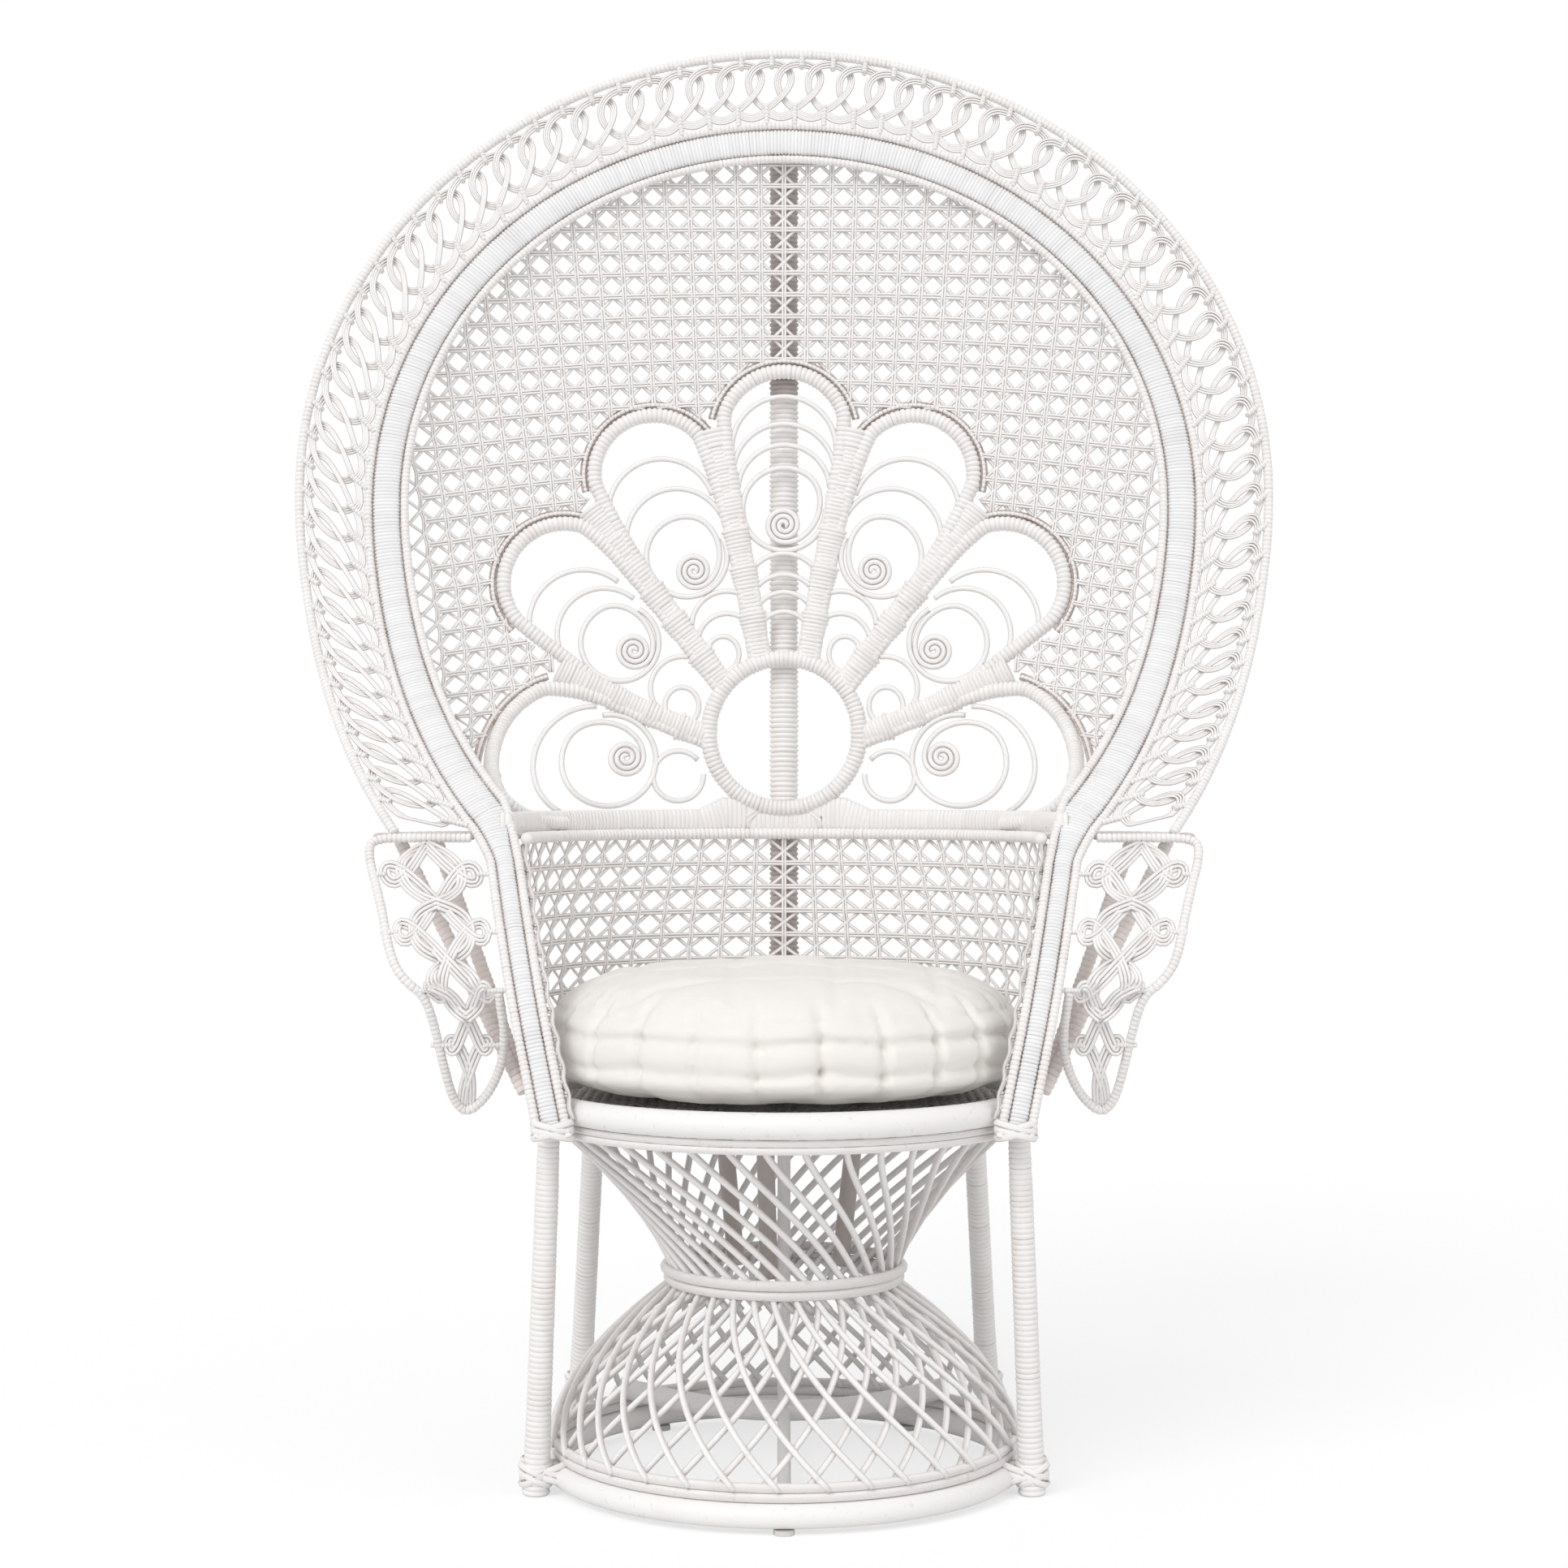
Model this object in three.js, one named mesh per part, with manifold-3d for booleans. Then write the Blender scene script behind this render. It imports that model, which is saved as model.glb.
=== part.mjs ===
// White rattan peacock chair: a caned hourglass base, a round seat with a tufted cushion,
// and a wide dished back with a fan of seven feathers inside a laced rim. Millimetres, +Z up, front at -Y.
import * as THREE from "three";
import { mergeVertices } from "three/addons/utils/BufferGeometryUtils.js";
import Module from "manifold-3d";

const wasm = await Module();
wasm.setup();

// Clearances: between solids, between two lashed canes, and the distance at which corners are one
const gap = 0.3;
const lashing = 0.6;
const weld = 0.001;

// Base
const baseRadius = 234;
const railRadius = 12;
const glideHeight = 5;
const glideRadius = 10;
const trimCaneRadius = 4.5;
const waistHeight = 197;
const waistRadius = 108;
const waistCaneRadius = 5;
const cageThickness = 6;
const cageCrossings = 15;
const upperStrands = 18;
const upperTwist = THREE.MathUtils.degToRad(75);
const legRadius = 12;
const legFlare = 3;
const legWrapHeight = 60;
const legNotch = 4;
const rearFootHalf = 233;
const rearFootBack = 330;
const rearLegBackShare = 0.62;
const frontLegBackShare = -0.462;
const frontFootBackShare = -0.33;
const braceRadius = 11;
const braceBack = 150;
const braceRise = 30;
const basePostRadius = 9;
const basePostTopBack = 20;

// Seat
const seatHeight = 384;
const seatOverBase = 6;
const seatRadius = baseRadius + seatOverBase;
const seatRailRadius = 13;
const seatTrimRadius = 3.4;
const deckThickness = 8;
const cushionInset = 4;
const cushionRadius = seatRadius - cushionInset;
const cushionHeight = 84;
const cushionCrown = 24;
const cushionRound = 16;
const tuftDepth = 7;
const tuftsAround = 12;

// Back shell
const armHeight = 655;
const shellFlare = 0.127;
const netThickness = 4;
const rearLean = 0.03;
const faceRecline = 0.23;
const faceSweep = 220;
const sweepStart = 450;
const sweepEnd = 950;
const postFoot = 363;
const postStandoff = 35;
const postTurn = THREE.MathUtils.degToRad(35.83);
const postFootHalf = (seatRadius + postStandoff) * Math.cos(postTurn);
const faceSeatDepth = (seatRadius + postStandoff) * Math.sin(postTurn);
const netClearance = 2.4;
const wallEdgeClearance = 1.2;
const backClearance = 1.2;

// Face band and rim hoop
const bandHalfWidth = 437;
const bandAboveArm = 370;
const bandCentreHeight = armHeight + bandAboveArm;
const bandFlatterAbove = 30;
const bandLongerBelow = 50;
const bandRise = bandHalfWidth - bandFlatterAbove;
const bandDrop = bandHalfWidth + bandLongerBelow;
const bandEndAngle = THREE.MathUtils.degToRad(48.5);
const bandWidth = 31;
const bandThickness = 10;
const postBandShare = 0.62;
const rollRadius = 4.4;
const laceSideReach = 96;
const laceTopReach = 88;
const laceFootReach = 93;
const hoopLift = 18;
const hoopHalfWidth = bandHalfWidth + laceSideReach;
const hoopCentreHeight = bandCentreHeight + hoopLift;
const hoopRise = bandRise + laceTopReach;
const hoopDrop = bandDrop + laceFootReach;
const hoopRadius = 5.5;
const laceThickness = 6;
const laceLoops = 30;
const laceClearance = 1.6;

// Feather fan: places are given by their reach from the hub and their angle from upright
const hubAboveArm = 107;
const hubHeight = armHeight + hubAboveArm;
const hubRadius = 80;
const hubPoleRadius = 9;
const fanInsideBand = 98;
const fanReach = bandHalfWidth - fanInsideBand;
const featherRadius = 6.5;
const lobeAngles = [0, 26.6, 55.6, 95.4];
const lobeReachShares = [1, 0.965, 0.88, 0.702];
const lobeRadiusShares = [0.212, 0.2, 0.2, 0.23];
const ribCuspAngles = [13.1, 40.7, 74.2];
const ribCuspShares = [1.07, 1.015, 0.79];
const ribMiddleAngles = [13.6, 43.6, 81.3];
const ribMiddleShares = [0.56, 0.56, 0.473];
const ribHubAngles = [18.8, 53, 95.4];
const curlAngles = [0, 28.8, 61.1, 98.9];
const curlReachShares = [0.75, 0.673, 0.622, 0.581];
const curlRadius = 2.9;
const scrollPitch = 7;
const scrollTurns = 2;
const scrollDrop = 18;
const boardThickness = 8;
const boardHeight = 17;
const fanRailRadius = 6;

// Arms
const armInsideHoop = 110;
const armReach = hoopHalfWidth - armInsideHoop;
const armCaneRadius = 4.8;
const armPanelThickness = 6;
const armTipHeight = 374;
const elbowHeight = 511;
const armTuckShare = 0.45;
const armTopDepth = 160;
const armTopThickness = 8;
const strutRadius = 5.5;
const strutFootHeight = 397;

// Back post
const backPostRadius = 17;
const backPostFoot = 345;
const backPostAboveBand = 8;
const backPostTop = bandCentreHeight + bandRise + backPostAboveBand;

// Finishes
const paint = { color: 0xf1efec, roughness: 0.55, metalness: 0 };
const wrapPaint = { color: 0xeeebe8, roughness: 0.62, metalness: 0 };
const linen = { color: 0xefe9df, roughness: 0.92, metalness: 0 };
const nylon = { color: 0xd9d7d3, roughness: 0.4, metalness: 0 };

const chair = new THREE.Group();

function add(name, geometry, finish) {
  const mesh = new THREE.Mesh(geometry, new THREE.MeshStandardMaterial(finish));
  mesh.name = name;
  chair.add(mesh);
  return mesh;
}

// Solids by addition and subtraction
function bare(geometry) {
  const copy = geometry.clone();
  copy.deleteAttribute("normal");
  copy.deleteAttribute("uv");
  return mergeVertices(copy, weld);
}

function solid(geometry) {
  const merged = bare(geometry);
  return new wasm.Manifold(
    new wasm.Mesh({
      numProp: 3,
      vertProperties: merged.attributes.position.array,
      triVerts: new Uint32Array(merged.index.array),
    }),
  );
}

function geometryOf(manifold) {
  const mesh = manifold.getMesh();
  const geometry = new THREE.BufferGeometry();
  geometry.setAttribute("position", new THREE.BufferAttribute(mesh.vertProperties, 3));
  geometry.setIndex(new THREE.BufferAttribute(mesh.triVerts, 1));
  return geometry;
}

function joined(geometries) {
  return geometries.map(solid).reduce((whole, piece) => whole.add(piece));
}

// A piece cut to sit against its neighbours, which are given larger than they are by the gap
function fitted(piece, neighbours) {
  return geometryOf(neighbours.reduce((rest, neighbour) => rest.subtract(neighbour), piece));
}

// Everything below or above a level, as a solid to cut with
function blockFrom(level, upwards) {
  const size = 2 * hoopHalfWidth + 2 * hoopRise;
  const block = new THREE.BoxGeometry(size, size, size);
  return solid(block.translate(0, 0, level + (upwards ? size / 2 : -size / 2)));
}

// Round section with the given number of sides
function roundSection(radius, sides) {
  const corners = [];
  for (let i = 0; i < sides; i++) {
    const angle = (2 * Math.PI * i) / sides;
    corners.push(new THREE.Vector2(radius * Math.cos(angle), radius * Math.sin(angle)));
  }
  return new THREE.Shape(corners);
}

function cane(curve, radius, steps, sides = 6) {
  return new THREE.ExtrudeGeometry(roundSection(radius, sides), {
    steps,
    bevelEnabled: false,
    extrudePath: curve,
  });
}

// A curve given by a function of its share from 0 to 1
class FormulaCurve extends THREE.Curve {
  constructor(formula) {
    super();
    this.formula = formula;
  }
  getPoint(t, target = new THREE.Vector3()) {
    return target.copy(this.formula(t));
  }
}

function ring(radius, tube, height, tubeSides = 4, around = 22) {
  const torus = new THREE.TorusGeometry(radius, tube, tubeSides, around);
  return torus.translate(0, 0, height);
}

// A cane bent along points that lie near an upright plane, so that its section never turns over
function bentCane(points, radius, sides, closed = false) {
  const count = points.length;
  const vertices = [];
  const indices = [];
  points.forEach((point, i) => {
    const before = closed ? points[(i + count - 1) % count] : points[Math.max(i - 1, 0)];
    const after = closed ? points[(i + 1) % count] : points[Math.min(i + 1, count - 1)];
    const along = after.clone().sub(before).normalize();
    const side = along.clone().cross(new THREE.Vector3(0, 1, 0)).normalize();
    const out = side.clone().cross(along);
    for (let k = 0; k < sides; k++) {
      const angle = (2 * Math.PI * k) / sides;
      const corner = point.clone().addScaledVector(side, radius * Math.cos(angle));
      vertices.push(corner.addScaledVector(out, radius * Math.sin(angle)));
    }
  });
  const corner = (i, k) => (i % count) * sides + (k % sides);
  for (let i = 0; i < (closed ? count : count - 1); i++) {
    for (let k = 0; k < sides; k++) {
      indices.push(corner(i, k), corner(i + 1, k + 1), corner(i, k + 1));
      indices.push(corner(i, k), corner(i + 1, k), corner(i + 1, k + 1));
    }
  }
  for (let k = 1; !closed && k < sides - 1; k++) {
    indices.push(corner(0, 0), corner(0, k), corner(0, k + 1));
    indices.push(corner(count - 1, 0), corner(count - 1, k + 1), corner(count - 1, k));
  }
  const geometry = new THREE.BufferGeometry().setFromPoints(vertices);
  geometry.setIndex(indices);
  return geometry;
}

// Tapered round pole between two points
function pole(from, to, radiusFrom, radiusTo, sides = 8) {
  const length = from.distanceTo(to);
  const cylinder = new THREE.CylinderGeometry(radiusTo, radiusFrom, length, sides);
  cylinder.translate(0, length / 2, 0);
  const turn = new THREE.Quaternion().setFromUnitVectors(
    new THREE.Vector3(0, 1, 0),
    to.clone().sub(from).normalize(),
  );
  return cylinder.applyQuaternion(turn).translate(from.x, from.y, from.z);
}

// Collects the triangles of a sheet that has an outer and an inner skin
const slopeShare = 0.001;
class SheetBuilder {
  constructor(surface, thickness) {
    this.surface = surface;
    this.half = thickness / 2;
    this.triangles = [];
  }

  // The two skins' points at a place, half the thickness to each side along the surface's normal
  skins(u, v) {
    const uLow = this.surface.closed ? u - slopeShare : Math.max(u - slopeShare, 0);
    const uHigh = this.surface.closed ? u + slopeShare : Math.min(u + slopeShare, 1);
    const vLow = Math.max(v - slopeShare, 0);
    const vHigh = Math.min(v + slopeShare, 1);
    const along = this.surface.at(uHigh, v).sub(this.surface.at(uLow, v));
    const across = this.surface.at(u, vHigh).sub(this.surface.at(u, vLow));
    const normal = along.cross(across).normalize();
    const middle = this.surface.at(u, v);
    return [
      middle.clone().addScaledVector(normal, this.half),
      middle.clone().addScaledVector(normal, -this.half),
    ];
  }

  // One flat patch on both skins, its corners in order round it
  patch(corners) {
    for (let i = 1; i < corners.length - 1; i++) {
      this.triangles.push(corners[0][0], corners[i][0], corners[i + 1][0]);
      this.triangles.push(corners[0][1], corners[i + 1][1], corners[i][1]);
    }
  }

  // The edge wall from one point of the outline to the next
  wall(from, to) {
    this.triangles.push(from[0], from[1], to[1]);
    this.triangles.push(from[0], to[1], to[0]);
  }

  geometry() {
    const geometry = new THREE.BufferGeometry().setFromPoints(this.triangles);
    return mergeVertices(geometry, weld);
  }
}

// A sheet of columns by rows, each cell with a diamond hole that has the given share of its size
function netSheet(surface, thickness, columns, rows, holeShare) {
  const sheet = new SheetBuilder(surface, thickness);
  const at = (i, j) => sheet.skins(i / columns, j / rows);
  for (let i = 0; i < columns; i++) {
    for (let j = 0; j < rows; j++) {
      const corners = [at(i, j), at(i + 1, j), at(i + 1, j + 1), at(i, j + 1)];
      if (holeShare > 0) {
        const middle = [i + 0.5, j + 0.5];
        const hole = [[0, -1], [1, 0], [0, 1], [-1, 0]].map(([right, up]) =>
          at(middle[0] + (holeShare * right) / 2, middle[1] + (holeShare * up) / 2),
        );
        for (let side = 0; side < 4; side++) {
          const next = (side + 1) % 4;
          sheet.patch([corners[side], corners[next], hole[side]]);
          sheet.patch([corners[next], hole[next], hole[side]]);
          sheet.wall(hole[next], hole[side]);
        }
      } else {
        sheet.patch(corners);
      }
      if (j === 0) sheet.wall(corners[0], corners[1]);
      if (j === rows - 1) sheet.wall(corners[2], corners[3]);
      if (i === 0) sheet.wall(corners[3], corners[0]);
      if (i === columns - 1) sheet.wall(corners[1], corners[2]);
    }
  }
  return sheet.geometry();
}

// A closed sheet of crossing canes: diamond holes between two zigzag edges
function diamondSheet(surface, thickness, crossings, rows, holeShare) {
  const sheet = new SheetBuilder(surface, thickness);
  const columns = 2 * crossings;
  const at = (i, j) => sheet.skins(((i + columns) % columns) / columns, j / rows);
  for (let i = 0; i < columns; i++) {
    for (let j = 0; j <= rows; j++) {
      if ((i + j) % 2 === 0) continue;
      if (j === 0) {
        sheet.patch([at(i - 1, 0), at(i + 1, 0), at(i, 1)]);
        sheet.wall(at(i - 1, 0), at(i + 1, 0));
      } else if (j === rows) {
        sheet.patch([at(i, rows - 1), at(i + 1, rows), at(i - 1, rows)]);
        sheet.wall(at(i + 1, rows), at(i - 1, rows));
      } else {
        const outer = [at(i, j - 1), at(i + 1, j), at(i, j + 1), at(i - 1, j)];
        const inner = [at(i, j - holeShare), at(i + holeShare, j), at(i, j + holeShare), at(i - holeShare, j)];
        for (let k = 0; k < 4; k++) {
          const next = (k + 1) % 4;
          sheet.patch([outer[k], outer[next], inner[next], inner[k]]);
          sheet.wall(inner[next], inner[k]);
        }
      }
    }
  }
  return sheet.geometry();
}

// A closed sheet of separate strands between two solid edges
function strandSheet(surface, thickness, strands, rows, edgeShare) {
  const sheet = new SheetBuilder(surface, thickness);
  const columns = 2 * strands;
  const between = (j) => edgeShare + ((1 - 2 * edgeShare) * (j - 1)) / (rows - 2);
  const level = (j) => (j % rows === 0 ? j / rows : between(j));
  const at = (i, j) => sheet.skins((i % columns) / columns, level(j));
  const filled = (i, j) => j === 0 || j === rows - 1 || i % 2 === 0;
  for (let i = 0; i < columns; i++) {
    for (let j = 0; j < rows; j++) {
      if (!filled(i, j)) continue;
      const corners = [at(i, j), at(i + 1, j), at(i + 1, j + 1), at(i, j + 1)];
      sheet.patch(corners);
      if (j === 0 || !filled(i, j - 1)) sheet.wall(corners[0], corners[1]);
      if (j === rows - 1 || !filled(i, j + 1)) sheet.wall(corners[2], corners[3]);
      if (!filled(i + 1, j)) sheet.wall(corners[1], corners[2]);
      if (!filled(i + columns - 1, j)) sheet.wall(corners[3], corners[0]);
    }
  }
  return sheet.geometry();
}

// Share of a cell that its hole takes, for each kind of open work
const holeShares = { cage: 0.72, lace: 0.78, net: 0.7, braid: 0.74 };

// The largest value that still fits, between one that does and one that does not
const bisections = 30;
function largest(fits, from, to) {
  let low = from;
  let high = to;
  for (let i = 0; i < bisections; i++) {
    const middle = (low + high) / 2;
    if (fits(middle)) low = middle;
    else high = middle;
  }
  return low;
}

// Depth of the face at a height: a steady recline plus a smooth sweep back above the seat
function faceDepth(height) {
  const sweep = THREE.MathUtils.smoothstep(height, sweepStart, sweepEnd);
  return -faceSeatDepth + faceRecline * (height - postFoot) + faceSweep * sweep;
}

// Radius of the round wall that stands outside the seat rail and opens upwards
const wallFootRadius = seatRadius + seatRailRadius + netClearance + netThickness / 2;
function wallRadius(height) {
  return wallFootRadius + shellFlare * (height - seatHeight);
}

function rearDepth(height) {
  return wallRadius(armHeight) + rearLean * (height - armHeight);
}

// Half width of the dish at a height, along the face band's inner edge
function ellipseHalf(height, half, centre, rise, drop) {
  const reach = height > centre ? rise : drop;
  const share = (height - centre) / reach;
  return half * Math.sqrt(Math.max(0, 1 - share * share));
}

function dishHalf(height) {
  return ellipseHalf(height, bandHalfWidth, bandCentreHeight, bandRise, bandDrop);
}

// Point of the dished back over a place in the front view
function dishPoint(x, z) {
  const half = dishHalf(z);
  const share = Math.sqrt(Math.max(0, 1 - (x / half) ** 2));
  const front = faceDepth(z);
  const depth = front + Math.max(0, rearDepth(z) - front) * share;
  return new THREE.Vector3(x, depth, z);
}

// Ellipse round the head, at an offset from the face band's centre line
function headPoint(angle, half, centre, rise, drop) {
  const reach = Math.sin(angle) > 0 ? rise : drop;
  return new THREE.Vector2(-half * Math.cos(angle), centre + reach * Math.sin(angle));
}

function bandPoint(angle, offset) {
  return headPoint(angle, bandHalfWidth + offset, bandCentreHeight, bandRise + offset, bandDrop + offset);
}

function onFace(place) {
  return new THREE.Vector3(place.x, faceDepth(place.y), place.y);
}

// Front post: the band's lower stretch, from the arm down to the seat
const bandEnd = bandPoint(-bandEndAngle, 0);
const postTop = bandEnd.y - bandWidth;
const postRunShare = 0.16;
const rollOffset = bandWidth / 2 + gap + rollRadius;
const faceEdge = rollOffset + rollRadius;

function postCentre(height) {
  const share = (height - postFoot) / (bandEnd.y - postFoot);
  return THREE.MathUtils.lerp(-postFootHalf, bandEnd.x, share);
}

// Offset across the post, where the band itself narrows but its rolls keep their size
function postOffset(offset) {
  const inBand = THREE.MathUtils.clamp(offset, -bandWidth / 2, bandWidth / 2);
  return inBand * postBandShare + (offset - inBand);
}

// Place on the face at a share of the run from the left foot to the right foot
function facePlace(t, offset) {
  const mirror = t > 0.5 ? -1 : 1;
  const run = t > 0.5 ? 1 - t : t;
  if (run < postRunShare) {
    const height = THREE.MathUtils.lerp(postFoot, postTop, run / postRunShare);
    return new THREE.Vector2(mirror * (postCentre(height) - postOffset(offset)), height);
  }
  const share = (run - postRunShare) / (0.5 - postRunShare);
  const angle = THREE.MathUtils.lerp(-bandEndAngle, Math.PI / 2, share);
  const place = bandPoint(angle, offset);
  return place.set(mirror * place.x, place.y);
}

// Arc of the lower wall at a height: it runs round the back from one front post to the other
function wallArc(height) {
  const rear = wallRadius(height);
  const front = faceDepth(height);
  const side = -postCentre(height) - postOffset(faceEdge) - netThickness / 2 - wallEdgeClearance;
  const back = (rear ** 2 - side ** 2 - front ** 2) / (2 * (rear - front));
  const radius = rear - back;
  return { back, radius, end: Math.asin((front - back) / radius) };
}

function wallPoint(u, height, inset) {
  const { back, radius, end } = wallArc(height);
  const angle = THREE.MathUtils.lerp(Math.PI - end, end, u);
  const reach = radius - inset;
  return new THREE.Vector3(reach * Math.cos(angle), back + reach * Math.sin(angle), height);
}

// Base: bottom rail, glides, trims, cage, waist and legs
const railHeight = glideHeight + gap + railRadius;
const railAround = 26;
const bottomRail = (clearance) => ring(baseRadius, railRadius + clearance, railHeight, 8, railAround);
const seatRail = (clearance) => ring(seatRadius, seatRailRadius + clearance, seatHeight, 8, railAround);
add("base_rail", bottomRail(0), paint);

const glideAngles = { front: -90, rear_left: 125, rear_right: 55 };
for (const [place, degrees] of Object.entries(glideAngles)) {
  const angle = THREE.MathUtils.degToRad(degrees);
  const glide = new THREE.CylinderGeometry(glideRadius, glideRadius, glideHeight, 12);
  glide.rotateX(Math.PI / 2);
  glide.translate(baseRadius * Math.cos(angle), baseRadius * Math.sin(angle), glideHeight / 2);
  add(`glide_${place}`, glide, nylon);
}

const lowerTrimHeight = railHeight + railRadius + gap + trimCaneRadius;
const upperTrimHeight = lowerTrimHeight + 2 * trimCaneRadius + gap;
add("base_trim_lower", ring(baseRadius, trimCaneRadius, lowerTrimHeight), paint);
add("base_trim_upper", ring(baseRadius, trimCaneRadius, upperTrimHeight), paint);

function revolved(radiusAt, low, high, twist) {
  return {
    closed: true,
    at(u, v) {
      const angle = 2 * Math.PI * u + twist * v;
      const radius = radiusAt(v);
      const height = THREE.MathUtils.lerp(low, high, v);
      return new THREE.Vector3(radius * Math.cos(angle), radius * Math.sin(angle), height);
    },
  };
}

// The dome's radius falls from the rail to the waist, slowly at first
const domeFoot = upperTrimHeight + trimCaneRadius + gap;
const domeSpan = baseRadius - waistRadius;
const domeBendShare = 1.75;
function domeRadius(v) {
  return waistRadius + domeSpan * (1 - v ** domeBendShare);
}
const domeTop = waistHeight - cageThickness / 2 - gap;
const dome = revolved(domeRadius, domeFoot, domeTop, 0);
add("base_cage", diamondSheet(dome, cageThickness, cageCrossings, 4, holeShares.cage), paint);

// The upper cage opens from the waist to the seat along an hourglass curve
const seatTrimHigh = seatHeight - seatRailRadius - gap - seatTrimRadius;
const seatTrimLow = seatTrimHigh - 2 * seatTrimRadius - gap;
const cageTop = seatTrimLow - seatTrimRadius - gap;
const cageTopRadius = seatRadius - cageThickness / 2;
const flareBendShare = 1.6;
const strandEdgeShare = 0.03;
function flareRadius(v) {
  return THREE.MathUtils.lerp(waistRadius, cageTopRadius, v ** flareBendShare);
}
const flare = revolved(flareRadius, waistHeight, cageTop, upperTwist);
add("seat_cage", strandSheet(flare, cageThickness, upperStrands, 6, strandEdgeShare), paint);

// Two canes stacked round the waist, each as wide as the cage at its top
for (const [k, name] of ["waist_cane_lower", "waist_cane_upper"].entries()) {
  const height = waistHeight + waistCaneRadius + gap + k * (2 * waistCaneRadius + gap);
  const top = (height + waistCaneRadius - waistHeight) / (cageTop - waistHeight);
  const radius = flareRadius(top) + cageThickness / 2 + waistCaneRadius + lashing;
  add(name, ring(radius, waistCaneRadius, height), paint);
}

// Legs lean from the seat rail's outer side down to the floor
const legSeatAngle = THREE.MathUtils.degToRad(30);
const legTop = seatHeight - seatRailRadius * Math.sin(legSeatAngle) - gap;
const legTopReach = seatRadius + seatRailRadius * Math.cos(legSeatAngle) + legRadius - legNotch;
const legFootRadius = legRadius + legFlare;
const frontFootReach = baseRadius + railRadius + legFootRadius;

function leg(name, side, backShare, footHalf, footBack) {
  const top = new THREE.Vector3(side * Math.sqrt(1 - backShare ** 2), backShare, 0);
  top.multiplyScalar(legTopReach).setZ(legTop);
  const foot = new THREE.Vector3(side * footHalf, footBack, 0);
  const lean = top.clone().sub(foot).divideScalar(legTop);
  const upper = top.clone().addScaledVector(lean, legRadius);
  const lower = foot.clone().addScaledVector(lean, -legRadius);
  const wrap = foot.clone().addScaledVector(lean, legWrapHeight);
  const shaft = joined([
    pole(wrap, upper, legRadius, legRadius),
    pole(lower, wrap.clone().addScaledVector(lean, legFlare), legFootRadius, legRadius),
  ]);
  const cutters = [blockFrom(0, false), blockFrom(legTop, true), solid(bottomRail(gap)), solid(seatRail(gap))];
  add(name, fitted(shaft, cutters), wrapPaint);
}
const frontFootHalf = frontFootReach * Math.sqrt(1 - frontFootBackShare ** 2);
const frontFootBack = frontFootReach * frontFootBackShare;
for (const [word, side] of [["left", -1], ["right", 1]]) {
  leg(`front_leg_${word}`, side, frontLegBackShare, frontFootHalf, frontFootBack);
  leg(`rear_leg_${word}`, side, rearLegBackShare, rearFootHalf, rearFootBack);
}

// Brace bar across the rear of the base, sagging between its ends at the foot of the dome
const braceEndHeight = upperTrimHeight + trimCaneRadius + gap + braceRadius;
const braceTopShare = (braceEndHeight + braceRadius - domeFoot) / (domeTop - domeFoot);
const braceReach = domeRadius(braceTopShare) * Math.cos(Math.PI / (2 * cageCrossings)) - cageThickness;
const braceHalf = Math.sqrt(baseRadius ** 2 - braceBack ** 2);
const brace = new THREE.QuadraticBezierCurve3(
  new THREE.Vector3(-braceHalf, braceBack, braceEndHeight),
  new THREE.Vector3(0, braceBack, 2 * braceRise - braceEndHeight),
  new THREE.Vector3(braceHalf, braceBack, braceEndHeight),
);
const bracePole = (clearance) => solid(cane(brace, braceRadius + clearance, 14, 8));
const domeInside = new THREE.CylinderGeometry(braceReach, braceReach, waistHeight, 32);
const domeCore = solid(domeInside.rotateX(Math.PI / 2).translate(0, 0, waistHeight / 2));
add("base_brace", geometryOf(bracePole(0).intersect(domeCore)), paint);

// Inner post from the brace up to the seat deck, and the stretcher from the brace to the front
const braceMiddle = brace.getPoint(0.5);
const postHead = new THREE.Vector3(0, basePostTopBack, seatHeight - deckThickness / 2 - gap - basePostRadius);
const innerPost = solid(pole(braceMiddle, postHead, basePostRadius, basePostRadius));
add("base_post", fitted(innerPost, [bracePole(gap)]), paint);

const frontOfRail = new THREE.Vector3(0, -baseRadius, railHeight);
const stretcher = solid(pole(frontOfRail, braceMiddle, basePostRadius, basePostRadius));
add("base_stretcher", fitted(stretcher, [solid(bottomRail(gap)), bracePole(gap), innerPost]), paint);

// Seat: rail, two trim canes, woven deck and the round cushion
add("seat_rail", seatRail(0), paint);
add("seat_trim_lower", ring(seatRadius, seatTrimRadius, seatTrimLow), paint);
add("seat_trim_upper", ring(seatRadius, seatTrimRadius, seatTrimHigh), paint);

const deckRadius = (seatRadius - seatRailRadius) * Math.cos(Math.PI / railAround) - gap;
const deck = new THREE.CylinderGeometry(deckRadius, deckRadius, deckThickness, railAround);
add("seat_deck", deck.rotateX(Math.PI / 2).translate(0, 0, seatHeight), wrapPaint);

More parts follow.
